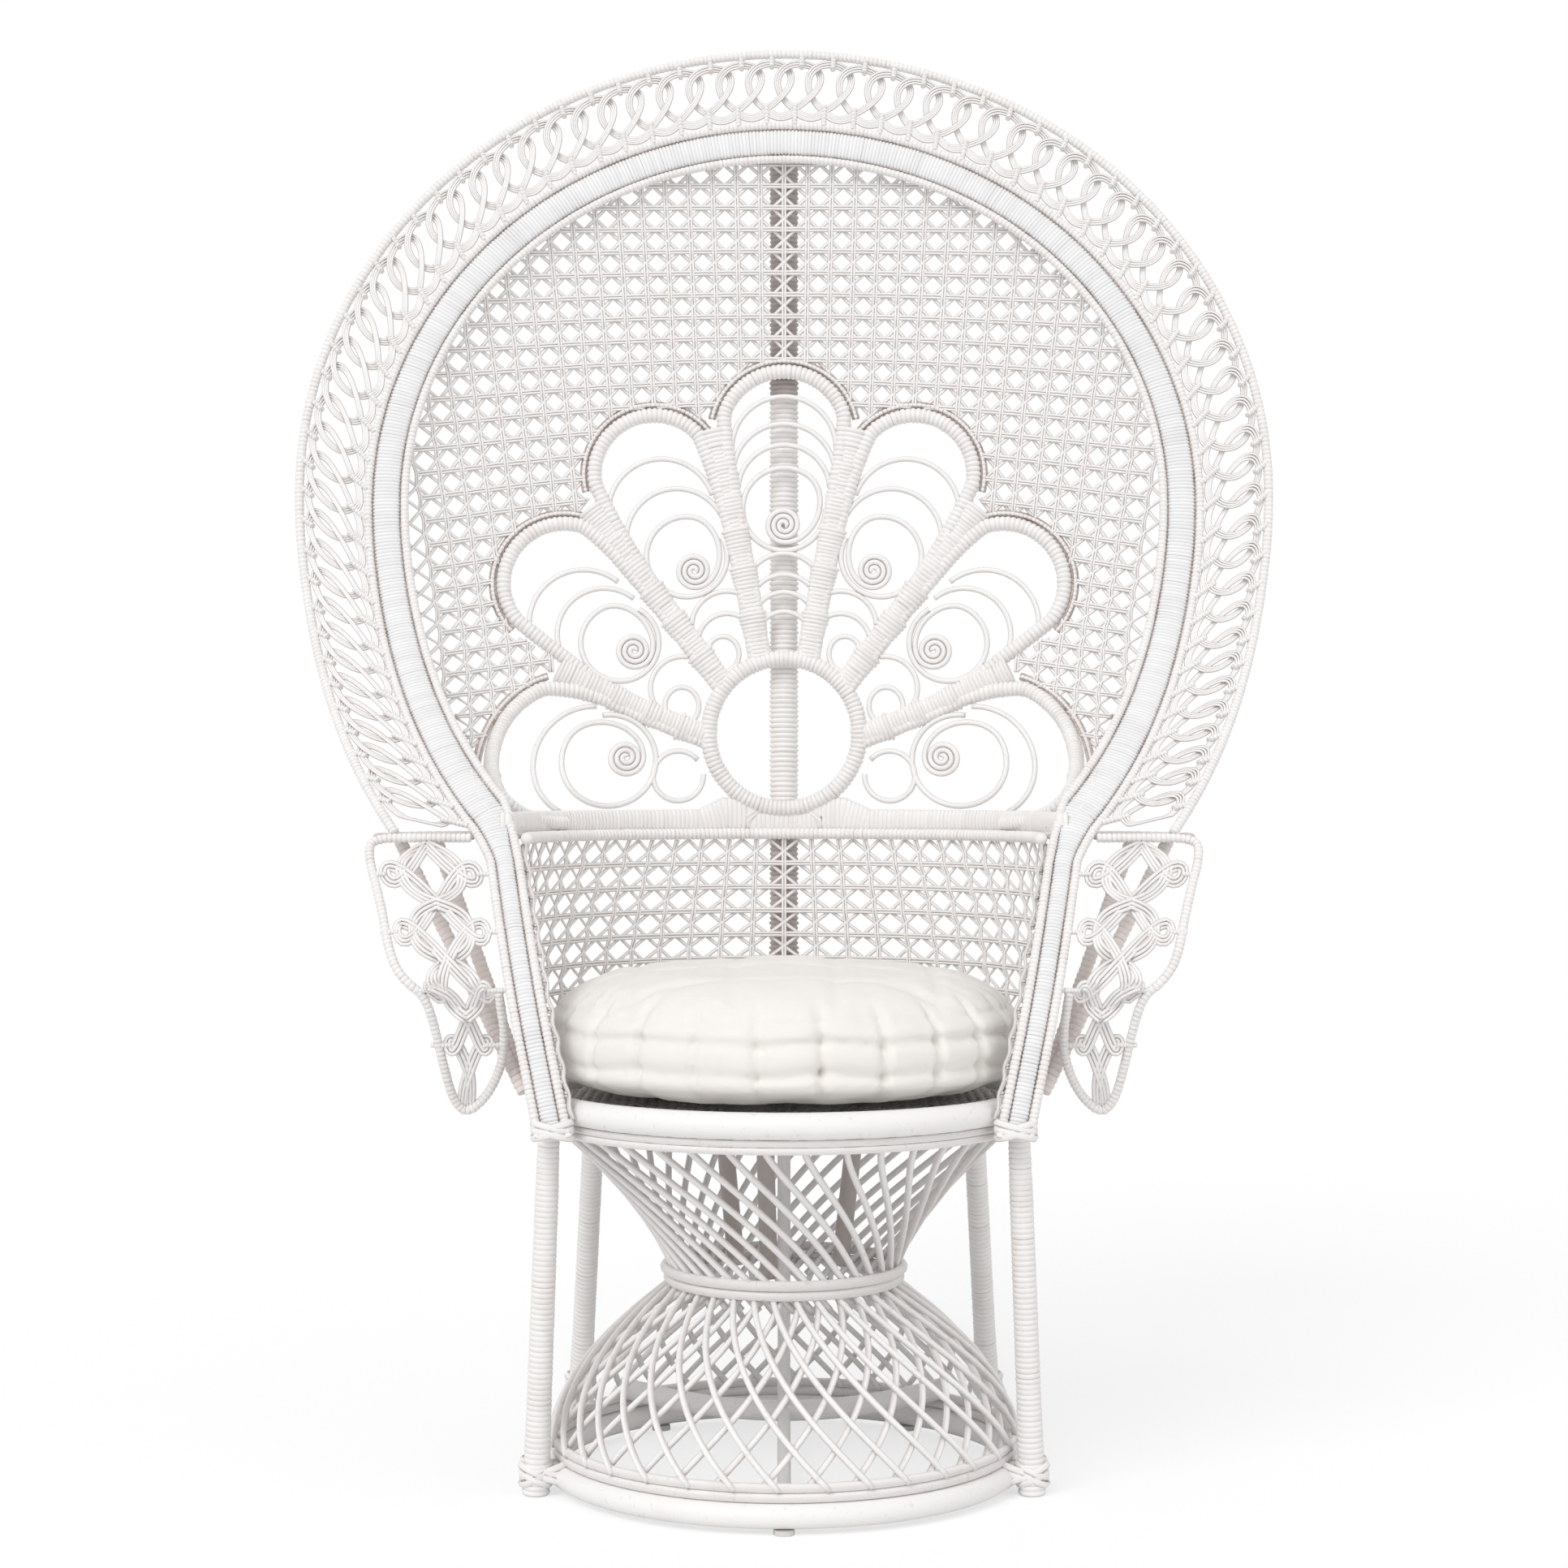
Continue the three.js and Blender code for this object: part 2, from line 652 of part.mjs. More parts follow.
// The cushion is a closed form: it rests on the deck and hangs over the rail, with a crowned top,
// a drawn-in side and tufts round its side
const cushionBulgeShares = { low: 0.3, pinch: 0.5, high: 0.72 };
const cushionBevelShare = 0.3;
const cushionCrownShares = [0.72, 0.45, 0.2];
const cushionFootShare = 0.8;
function cushionGeometry() {
  const around = 3 * tuftsAround;
  const foot = seatHeight + seatRailRadius + gap;
  const footDrop = seatHeight + deckThickness / 2 + gap - foot;
  const edge = cushionRadius - cushionRound;
  const bevel = cushionRound * cushionBevelShare;
  const rows = [
    [edge * cushionFootShare, footDrop],
    [edge, 0],
    [cushionRadius - bevel, bevel],
    [cushionRadius, cushionHeight * cushionBulgeShares.low],
    [cushionRadius - tuftDepth, cushionHeight * cushionBulgeShares.pinch],
    [cushionRadius, cushionHeight * cushionBulgeShares.high],
    [cushionRadius - bevel, cushionHeight - bevel],
    [edge, cushionHeight],
  ];
  for (const share of cushionCrownShares) {
    rows.push([edge * share, cushionHeight + cushionCrown * (1 - share * share)]);
  }
  const point = (i, j) => {
    const angle = (2 * Math.PI * (i % around)) / around;
    const onSide = j >= 3 && j <= 5;
    const pull = onSide ? tuftDepth * Math.max(0, Math.cos(tuftsAround * angle)) : 0;
    const [radius, height] = rows[j];
    const reach = radius - pull;
    return new THREE.Vector3(reach * Math.cos(angle), reach * Math.sin(angle), foot + height);
  };
  const triangles = [];
  const bottom = new THREE.Vector3(0, 0, foot + footDrop);
  const top = new THREE.Vector3(0, 0, foot + cushionHeight + cushionCrown);
  for (let i = 0; i < around; i++) {
    triangles.push(bottom, point(i + 1, 0), point(i, 0));
    triangles.push(top, point(i, rows.length - 1), point(i + 1, rows.length - 1));
    for (let j = 0; j < rows.length - 1; j++) {
      triangles.push(point(i, j), point(i + 1, j), point(i + 1, j + 1));
      triangles.push(point(i, j), point(i + 1, j + 1), point(i, j + 1));
    }
  }
  return mergeVertices(new THREE.BufferGeometry().setFromPoints(triangles), weld);
}
add("seat_cushion", cushionGeometry(), linen);

// Face band and the wrapped rolls along both of its edges
const bandSurface = {
  at: (u, v) => onFace(facePlace(u, THREE.MathUtils.lerp(-bandWidth / 2, bandWidth / 2, v))),
};
const faceSteps = 60;
add("face_band", netSheet(bandSurface, bandThickness, faceSteps, 1, 0), wrapPaint);

const shares = (steps) => Array.from({ length: steps + 1 }, (_, i) => i / steps);
function faceRoll(side, clearance) {
  const points = shares(faceSteps).map((t) => onFace(facePlace(t, side * rollOffset)));
  return bentCane(points, rollRadius + clearance, 4);
}
add("face_roll_inner", faceRoll(-1, 0), wrapPaint);
add("face_roll_outer", faceRoll(1, 0), wrapPaint);

// Rim hoop round the head, cut flat where it stands on the arms
const hoopFoot = armHeight + gap;
const hoopEndAngle = Math.asin((hoopCentreHeight - hoopFoot + hoopRadius) / hoopDrop);
function hoopPlace(t, offset) {
  const angle = THREE.MathUtils.lerp(-hoopEndAngle, Math.PI + hoopEndAngle, t);
  return headPoint(angle, hoopHalfWidth + offset, hoopCentreHeight, hoopRise + offset, hoopDrop + offset);
}
const hoop = solid(bentCane(shares(44).map((t) => onFace(hoopPlace(t, 0))), hoopRadius, 5));
add("rim_hoop", fitted(hoop, [blockFrom(hoopFoot, false)]), wrapPaint);

// Lace of loops between the outer roll and the hoop
const laceEndTrimShare = 0.012;
const laceSurface = {
  at(u, v) {
    const t = THREE.MathUtils.lerp(laceEndTrimShare, 1 - laceEndTrimShare, u);
    const angle = THREE.MathUtils.lerp(-bandEndAngle, Math.PI + bandEndAngle, t);
    const inner = bandPoint(angle, faceEdge + laceClearance);
    const outer = hoopPlace(t, -hoopRadius - laceClearance);
    return onFace(inner.lerp(outer, v));
  },
};
add("rim_lace", netSheet(laceSurface, laceThickness, laceLoops, 1, holeShares.lace), paint);

// Lower back: the fan rail bent round the shell, and the woven wall between it and the seat
const fanRailHeight = armHeight - fanRailRadius;
const railInset = fanRailRadius - netThickness / 2;
const fanRailCurve = new FormulaCurve((u) => wallPoint(u, fanRailHeight, railInset));
add("fan_rail", cane(fanRailCurve, fanRailRadius, 24), wrapPaint);

const wallFoot = legTop + gap;
const wallTop = fanRailHeight - fanRailRadius - lashing;
const wallSurface = {
  at: (u, v) => wallPoint(u, THREE.MathUtils.lerp(wallFoot, wallTop, v), 0),
};
add("lower_back_net", netSheet(wallSurface, netThickness, 18, 2, holeShares.net), paint);

const boardFoot = armHeight + gap;
const boardTop = boardFoot + boardHeight;

// Fan: places in the front view, with the left side at positive angles
function fanPlace(reach, degrees) {
  const angle = THREE.MathUtils.degToRad(degrees);
  return new THREE.Vector2(-reach * Math.sin(angle), hubHeight + reach * Math.cos(angle));
}
const onDish = (place) => dishPoint(place.x, place.y);
const mirrored = (place, side) => new THREE.Vector2(side * place.x, place.y);

const hubPlaces = shares(20).slice(1).map((t) => fanPlace(hubRadius, 360 * t));
const hubRing = (clearance) => bentCane(hubPlaces.map(onDish), hubPoleRadius + clearance, 6, true);
add("fan_hub", hubRing(0), wrapPaint);

// A rib runs from the hub to the cusp between two lobes; each neighbour keeps to its own side of it
const ribUpperShare = 0.55;
function ribPlaces(k, offset) {
  const hub = fanPlace(hubRadius, ribHubAngles[k]);
  const middle = fanPlace(fanReach * ribMiddleShares[k], ribMiddleAngles[k]);
  const cusp = fanPlace(fanReach * ribCuspShares[k], ribCuspAngles[k]);
  const upper = middle.clone().lerp(cusp, ribUpperShare);
  const beside = (place, from, to) => {
    const along = to.clone().sub(from).normalize();
    return place.clone().add(new THREE.Vector2(-along.y, along.x).multiplyScalar(offset));
  };
  return [beside(hub, hub, middle), beside(middle, hub, cusp), beside(upper, middle, cusp)];
}

// Each feather is one cane bent up one rib, round its lobe and down the next rib
const ribOffset = featherRadius + lashing;
const lobeSpread = THREE.MathUtils.degToRad(75);
const lobeSteps = 5;
const lowest = lobeAngles.length - 1;
function featherPlaces(k) {
  const centre = fanPlace(fanReach * lobeReachShares[k], lobeAngles[k]);
  const radius = fanReach * lobeRadiusShares[k];
  const upright = THREE.MathUtils.degToRad(lobeAngles[k]);
  const start = k === lowest ? Math.PI : upright + lobeSpread;
  const arc = shares(lobeSteps).map((share) => {
    const angle = THREE.MathUtils.lerp(start, upright - lobeSpread, share);
    return new THREE.Vector2(centre.x - radius * Math.sin(angle), centre.y + radius * Math.cos(angle));
  });
  const outside = k === lowest ? [] : ribPlaces(k, -ribOffset);
  const inside = k > 0 ? ribPlaces(k - 1, ribOffset) : outside.map((place) => mirrored(place, -1));
  return [...outside, ...arc, ...inside.reverse()];
}

const hubClear = solid(hubRing(gap));
const featherSteps = 24;
function featherPoints(k, side) {
  const places = featherPlaces(k).map((place) => onDish(mirrored(place, side)));
  return new THREE.CatmullRomCurve3(places, false, "centripetal").getSpacedPoints(featherSteps);
}
const feather = (k, side, clearance) => solid(bentCane(featherPoints(k, side), featherRadius + clearance, 6));

// Each feather holds a loop that winds in to a scroll: a centre and a radius that both change as it turns
const scrollStart = curlRadius;
const openingTurns = 0.55;
const loopTurns = 0.58;
const curlTurns = scrollTurns + openingTurns + loopTurns;
const curlStepsPerTurn = 10;
const curlBite = 1.2;
function curlPlaces(k, loopRadius) {
  const centre = fanPlace(fanReach * curlReachShares[k], curlAngles[k]);
  const heart = fanPlace(fanReach * curlReachShares[k] - scrollDrop, curlAngles[k]);
  const firstAngle = k === lowest ? Math.PI / 2 : THREE.MathUtils.degToRad(curlAngles[k] - ribMiddleAngles[0]);
  const steps = Math.round(curlTurns * curlStepsPerTurn);
  return shares(steps).map((share) => {
    const turns = share * curlTurns;
    const opening = THREE.MathUtils.smoothstep(turns, scrollTurns, scrollTurns + openingTurns);
    const scroll = scrollStart + scrollPitch * Math.min(turns, scrollTurns + openingTurns);
    const radius = THREE.MathUtils.lerp(scroll, loopRadius, opening);
    const middle = heart.clone().lerp(centre, opening);
    const angle = firstAngle - 2 * Math.PI * turns;
    return new THREE.Vector2(middle.x + radius * Math.cos(angle), middle.y + radius * Math.sin(angle));
  });
}

// Distance of a place to the straight stretch between two others
function distanceTo(place, from, to) {
  const stretch = to.clone().sub(from);
  const share = THREE.MathUtils.clamp(place.clone().sub(from).dot(stretch) / stretch.lengthSq(), 0, 1);
  return place.distanceTo(from.clone().addScaledVector(stretch, share));
}

// The least distance between two bent canes' centre lines, from the points of each to the other's stretches
function roomBetween(one, other) {
  const reach = (points, line) =>
    points.map((point) => Math.min(...line.slice(1).map((end, i) => distanceTo(point, line[i], end))));
  return Math.min(...reach(one, other), ...reach(other, one));
}

// The widest loop: it bears on its feather by a small bite, which is cut away, and stays above the board
function curlRoute(k) {
  const frame = featherPoints(k, 1);
  const fits = (radius) => {
    const places = curlPlaces(k, radius);
    const lowestPlace = Math.min(...places.map((place) => place.y));
    const room = roomBetween(places.map(onDish), frame);
    return room > featherRadius + curlRadius - curlBite && lowestPlace > boardTop + curlRadius + gap;
  };
  return curlPlaces(k, largest(fits, scrollPitch, hubRadius));
}

// The least gap of a cane to its own other turns, measured between its points
function selfGap(points, radius, nearby) {
  let least = Infinity;
  for (let i = 0; i < points.length; i++) {
    for (let j = i + nearby; j < points.length; j++) {
      least = Math.min(least, points[i].distanceTo(points[j]) - 2 * radius);
    }
  }
  return least;
}

const featherNames = ["top", "upper", "middle", "lower"];
let leastGap = Infinity;
for (const [k, word] of featherNames.entries()) {
  for (const [hand, side] of k === 0 ? [["", 1]] : [["_left", 1], ["_right", -1]]) {
    add(`feather_${word}${hand}`, fitted(feather(k, side, 0), [hubClear]), wrapPaint);
    const points = curlRoute(k).map((place) => onDish(mirrored(place, side)));
    leastGap = Math.min(leastGap, selfGap(points, curlRadius, curlStepsPerTurn / 2));
    const curl = solid(bentCane(points, curlRadius, 6));
    add(`curl_${word}${hand}`, fitted(curl, [feather(k, side, gap)]), paint);
  }
}
console.log(`least gap of a curl to itself: ${leastGap.toFixed(2)} mm`);

// Base board of the fan, standing on the fan rail
const boardHalf = -featherPlaces(lowest)[0].x - featherRadius;
const boardSurface = {
  at: (u, v) => dishPoint(THREE.MathUtils.lerp(-boardHalf, boardHalf, u), boardFoot + v * boardHeight),
};
add("fan_board", netSheet(boardSurface, boardThickness, 24, 1, 0), wrapPaint);

// Upper back: the woven dish between the feathers and the face band
function featherReach(angle) {
  const towards = new THREE.Vector2(-Math.sin(angle), Math.cos(angle));
  const reaches = featherNames.flatMap((_, k) =>
    [1, -1].map((side) => {
      const centre = mirrored(fanPlace(fanReach * lobeReachShares[k], lobeAngles[k]), side);
      centre.y -= hubHeight;
      const along = centre.dot(towards);
      const across = centre.lengthSq() - along ** 2;
      const radius = fanReach * lobeRadiusShares[k] + featherRadius;
      return across < radius ** 2 ? along + Math.sqrt(radius ** 2 - across) : 0;
    }),
  );
  return Math.max(...reaches);
}

function bandReach(angle) {
  const towards = new THREE.Vector2(-Math.sin(angle), Math.cos(angle));
  const half = bandHalfWidth - faceEdge - netClearance;
  const inside = (distance) => {
    const x = distance * towards.x;
    const z = hubHeight + distance * towards.y - bandCentreHeight;
    const rise = (z > 0 ? bandRise : bandDrop) - faceEdge - netClearance;
    return (x / half) ** 2 + (z / rise) ** 2 < 1;
  };
  return largest(inside, 0, bandRise + bandDrop);
}

const backColumns = 18;
const backSpread = THREE.MathUtils.degToRad(88);
const backSurface = {
  at(u, v) {
    const angle = THREE.MathUtils.lerp(backSpread, -backSpread, u);
    const window = (2 * backSpread) / backColumns;
    const nearby = shares(8).map((share) => featherReach(angle + THREE.MathUtils.lerp(-window, window, share)));
    const foot = Math.max(...nearby) + backClearance;
    const reach = THREE.MathUtils.lerp(foot, bandReach(angle), v);
    return dishPoint(-reach * Math.sin(angle), hubHeight + reach * Math.cos(angle));
  },
};
add("upper_back_net", netSheet(backSurface, netThickness, backColumns, 3, holeShares.net), paint);

// Back post: it stands behind the seat rail and the wall and carries the hub and the top feather
const postClear = backPostRadius + gap;
const wallBack = wallRadius(wallFoot) + netThickness / 2 + postClear;
const postTopDepth = Math.max(rearDepth(backPostTop), faceDepth(backPostTop));
const backPostPoints = [
  new THREE.Vector3(0, wallBack, backPostFoot),
  new THREE.Vector3(0, wallBack, wallFoot),
  new THREE.Vector3(0, rearDepth(armHeight) + hubPoleRadius + postClear, armHeight),
  new THREE.Vector3(0, postTopDepth + hubPoleRadius + postClear, backPostTop),
];
add("back_post", bentCane(backPostPoints, backPostRadius, 8), wrapPaint);

// Arms: the outline of each front panel, as shares of the way from the post out to the arm's reach
// and up from the tip to the arm's top
const armOutlineShares = [
  [0.065, 1], [0.5, 1], [0.93, 1], [1, 0.955], [0.84, 0.77], [0.746, 0.572], [0.636, 0.493], [0.527, 0.446],
  [0.495, 0.342], [0.48, 0.162], [0.457, 0.04], [0.384, 0], [0.206, 0.1], [0.061, 0.259], [0.02, 0.46],
];
const armTopCentre = armHeight - armCaneRadius;
function postOuter(height) {
  return -postCentre(height) + postOffset(faceEdge) + gap + armCaneRadius;
}

function armDepth(height) {
  return faceDepth(Math.max(height, elbowHeight)) + armTuckShare * Math.max(0, elbowHeight - height);
}

function armPlace(side, reachShare, heightShare) {
  const height = THREE.MathUtils.lerp(armTipHeight, armTopCentre, heightShare);
  const x = THREE.MathUtils.lerp(postOuter(height), armReach, reachShare);
  return new THREE.Vector3(side * x, armDepth(height), height);
}

// The braid hangs inside the outline: its outer and inner edges at a share of the panel's height
const braidOuterShares = [
  [0.04, 0.4], [0.162, 0.4], [0.342, 0.42], [0.493, 0.49], [0.572, 0.63], [0.77, 0.76], [0.92, 0.87],
];
const braidInnerShares = [
  [0.04, 0.34], [0.162, 0.25], [0.342, 0.12], [0.493, 0.08], [0.572, 0], [0.77, 0], [0.92, 0.07],
];
const braidFootShare = 0.09;
const braidHeadShare = 0.92;
function shareAt(table, height) {
  const next = table.findIndex(([level]) => level >= height);
  if (next <= 0) return table[next === 0 ? 0 : table.length - 1][1];
  const [low, from] = table[next - 1];
  const [high, to] = table[next];
  return THREE.MathUtils.mapLinear(height, low, high, from, to);
}

const strutFoot = wallRadius(strutFootHeight) + netThickness / 2 + lashing + strutRadius;
const strutAngle = THREE.MathUtils.degToRad(194);
const strutTopShare = 0.87;
const strutDepthShare = 0.33;
const strutPairShare = 0.85;
for (const [word, side] of [["left", -1], ["right", 1]]) {
  const outline = armOutlineShares.map(([reach, height]) => armPlace(side, reach, height));
  const outlineCurve = new THREE.CatmullRomCurve3(outline, false, "centripetal");
  const frame = solid(bentCane(outlineCurve.getSpacedPoints(34), armCaneRadius, 5));
  add(`arm_frame_${word}`, fitted(frame, [solid(faceRoll(1, gap)), blockFrom(armHeight, true)]), wrapPaint);

  const braidSurface = {
    at(u, v) {
      const height = THREE.MathUtils.lerp(braidFootShare, braidHeadShare, u);
      const inner = armPlace(side, shareAt(braidInnerShares, height), height);
      inner.x -= side * (armCaneRadius - gap);
      const outer = armPlace(side, shareAt(braidOuterShares, height), height);
      return inner.lerp(outer, v);
    },
  };
  add(`arm_braid_${word}`, netSheet(braidSurface, armPanelThickness, 8, 1, holeShares.braid), paint);

  const topFront = faceDepth(armHeight) + bandThickness;
  const wallOuter = (depth) => {
    const { back, radius } = wallArc(armHeight);
    return Math.sqrt(Math.max(0, radius ** 2 - (depth - back) ** 2)) + netThickness / 2 + lashing;
  };
  const outlinePoints = [];
  for (const share of shares(8)) {
    const depth = topFront + armTopDepth * Math.sin((Math.PI / 2) * share);
    const reach = THREE.MathUtils.lerp(wallOuter(depth), armReach, Math.cos((Math.PI / 2) * share));
    outlinePoints.push(new THREE.Vector2(side * reach, depth));
  }
  for (const share of shares(6).slice(1)) {
    const depth = topFront + armTopDepth * (1 - share);
    outlinePoints.push(new THREE.Vector2(side * wallOuter(depth), depth));
  }
  const board = { depth: armTopThickness, bevelEnabled: false };
  const top = new THREE.ExtrudeGeometry(new THREE.Shape(outlinePoints), board);
  add(`arm_top_${word}`, top.translate(0, 0, armHeight - armTopThickness), wrapPaint);

  const foot = new THREE.Vector3(-side * Math.cos(strutAngle), Math.sin(strutAngle), 0);
  foot.multiplyScalar(strutFoot).setZ(strutFootHeight);
  const headDepth = topFront + armTopDepth * strutDepthShare;
  const head = new THREE.Vector3(side * armReach * strutTopShare, headDepth, armHeight);
  const pair = [-1, 1].map((turn) => {
    const shift = new THREE.Vector3(0, turn * strutRadius * strutPairShare, 0);
    return pole(foot.clone().add(shift), head.clone().add(shift), strutRadius, strutRadius, 8);
  });
  const underTop = blockFrom(armHeight - armTopThickness - gap, true);
  add(`arm_strut_${word}`, fitted(joined(pair), [underTop]), wrapPaint);
}

// The origin lies on the floor under the middle of the chair
const extent = new THREE.Box3().setFromObject(chair);
const middle = extent.getCenter(new THREE.Vector3());
chair.position.set(-middle.x, -middle.y, -extent.min.z);

export default chair;
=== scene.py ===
import bpy
import numpy as np
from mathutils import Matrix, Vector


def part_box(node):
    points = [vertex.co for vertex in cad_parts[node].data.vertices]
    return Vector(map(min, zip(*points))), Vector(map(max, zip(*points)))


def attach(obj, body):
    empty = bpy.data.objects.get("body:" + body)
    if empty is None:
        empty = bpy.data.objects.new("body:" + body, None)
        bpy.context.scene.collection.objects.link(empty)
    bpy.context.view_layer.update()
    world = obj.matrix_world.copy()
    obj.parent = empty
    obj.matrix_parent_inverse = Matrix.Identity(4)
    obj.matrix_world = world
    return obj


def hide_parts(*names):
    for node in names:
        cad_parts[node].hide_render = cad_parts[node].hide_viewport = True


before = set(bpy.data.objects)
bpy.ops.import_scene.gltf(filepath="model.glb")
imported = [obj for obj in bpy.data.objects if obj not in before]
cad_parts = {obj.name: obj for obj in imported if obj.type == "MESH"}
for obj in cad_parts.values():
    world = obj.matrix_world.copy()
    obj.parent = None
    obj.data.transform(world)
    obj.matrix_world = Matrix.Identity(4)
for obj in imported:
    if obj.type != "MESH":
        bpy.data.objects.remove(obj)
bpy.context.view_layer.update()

# Bottom ring
# A steamed rattan pole bent to a circle, its ends scarfed together and painted white with a brush.
# It lies on three small glides and carries everything else; places are measured from its middle on the floor.
mm = 0.001
upright = np.array([0.0, 0.0, 1.0])
backward = np.array([0.0, 1.0, 0.0])
ring_corners = np.array([list(corner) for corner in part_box("base_rail")])
ring_middle = ring_corners.mean(0) * [1, 1, 0]
rail_radius = 12 * mm
base_radius = 234 * mm
rail_height = ring_corners[:, 2].mean()


def unit(vectors):
    """Each vector divided by its own length."""
    return vectors / np.linalg.norm(vectors, axis=-1, keepdims=True)


def sweep(route, side, width, depth=None, sides=8, closed=False, counts=None):
    """Canes carried along routes: an oval stands square to each route, its half width along the cross
    product of the route's direction and the side vector, its half depth square to both. Where the route is
    closed the last oval joins the first. The first corner coordinate is the length run, or the counts
    given; the second is the share of the way round the oval."""
    route = np.asarray(route, float)
    route = route.reshape(-1, *route.shape[-2:])
    canes, stations = route.shape[:2]
    ahead = np.roll(route, -1, 1)
    behind = np.roll(route, 1, 1)
    if not closed:
        ahead[:, -1] = 2 * route[:, -1] - route[:, -2]
        behind[:, 0] = 2 * route[:, 0] - route[:, 1]
    along = unit(ahead - behind)
    across = unit(np.cross(along, side))
    out = np.cross(across, along)
    width = np.broadcast_to(width, (canes, stations))
    depth = np.broadcast_to(width if depth is None else depth, (canes, stations))
    turn = 2 * np.pi * np.arange(sides) / sides
    points = (route[:, :, None]
              + across[:, :, None] * (width[..., None] * np.cos(turn))[..., None]
              + out[:, :, None] * (depth[..., None] * np.sin(turn))[..., None])
    index = np.arange(canes * stations * sides).reshape(canes, stations, sides)
    first = index if closed else index[:, :-1]
    following = np.roll(index, -1, 1) if closed else index[:, 1:]
    faces = np.stack([first, following, np.roll(following, -1, 2), np.roll(first, -1, 2)], -1)
    if counts is None:
        steps = np.linalg.norm(ahead - route, axis=-1)
        counts = np.concatenate([np.zeros((canes, 1)), np.cumsum(steps, 1)], 1)
    counts = np.broadcast_to(counts, (canes, np.shape(counts)[-1]))
    runs = first.shape[1]
    corners = np.zeros(faces.shape + (2,))
    corners[..., 0] = np.stack([counts[:, :runs], counts[:, 1:runs + 1]], -1)[:, :, None, [0, 1, 1, 0]]
    corners[..., 1] = (np.arange(sides)[:, None] + [0, 0, 1, 1]) / sides
    faces = [faces.reshape(-1, 4)]
    corners = [corners.reshape(-1, 4, 2)]
    if not closed:
        low = np.arange(sides // 2 - 1)
        cap = np.stack([low, low + 1, sides - 2 - low, sides - 1 - low], -1)
        for end, order in ((0, cap), (-1, cap[:, ::-1])):
            faces.append(index[:, end][:, order].reshape(-1, 4))
            corners.append(np.full((len(faces[-1]), 4, 2), 0.5))
    return points.reshape(-1, 3), np.concatenate(faces), np.concatenate(corners)


def circle(radius, height, stations=192):
    """Points round an upright axis at one height, without the last point that would repeat the first."""
    turn = 2 * np.pi * np.arange(stations) / stations
    return np.stack([radius * np.cos(turn), radius * np.sin(turn), np.full(stations, height)], -1)


def placed(name, data):
    """An object with that name and data, linked into the scene."""
    made = bpy.data.objects.new(name, data)
    bpy.context.collection.objects.link(made)
    return made


def piece(name, parts, material, nodes=()):
    """One piece of the chair from parts of points, four-cornered faces and corner coordinates, moved from
    the bottom ring's middle to the frame's origin, riding on the chair's only body."""
    starts = np.cumsum([0] + [len(part[0]) for part in parts[:-1]])
    points = np.concatenate([part[0] for part in parts]) + ring_middle
    faces = np.concatenate([part[1] + start for part, start in zip(parts, starts)])
    corners = np.concatenate([part[2] for part in parts])
    mesh = bpy.data.meshes.new(name)
    mesh.vertices.add(len(points))
    mesh.vertices.foreach_set("co", points.ravel())
    mesh.loops.add(faces.size)
    mesh.loops.foreach_set("vertex_index", faces.ravel())
    mesh.polygons.add(len(faces))
    mesh.polygons.foreach_set("loop_start", np.arange(0, faces.size, 4))
    mesh.polygons.foreach_set("use_smooth", np.ones(len(faces), bool))
    mesh.uv_layers.new(name="cane").data.foreach_set("uv", corners.ravel())
    mesh.update(calc_edges=True)
    mesh.materials.append(material)
    made = placed(name, mesh)
    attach(made, "root")
    if nodes:
        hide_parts(*nodes)
    return made


class Wire:
    """An output socket of a shader node, used as a number in sums and products."""

    def __init__(self, finish, socket):
        self.finish = finish
        self.socket = socket

    def math(self, operation, first, second=0.0):
        return self.finish.node("ShaderNodeMath", {"operation": operation}, {0: first, 1: second})

    def of(self, operation):
        return self.math(operation, self)

    def __add__(self, other):
        return self.math("ADD", self, other)

    def __sub__(self, other):
        return self.math("SUBTRACT", self, other)

    def __rsub__(self, other):
        return self.math("SUBTRACT", other, self)

    def __mul__(self, other):
        return self.math("MULTIPLY", self, other)

    def __truediv__(self, other):
        return self.math("DIVIDE", self, other)

    def __pow__(self, other):
        return self.math("POWER", self, other)

    def __abs__(self):
        return self.of("ABSOLUTE")

    def __mod__(self, other):
        return self.math("MODULO", self, other)

    __radd__ = __add__
    __rmul__ = __mul__


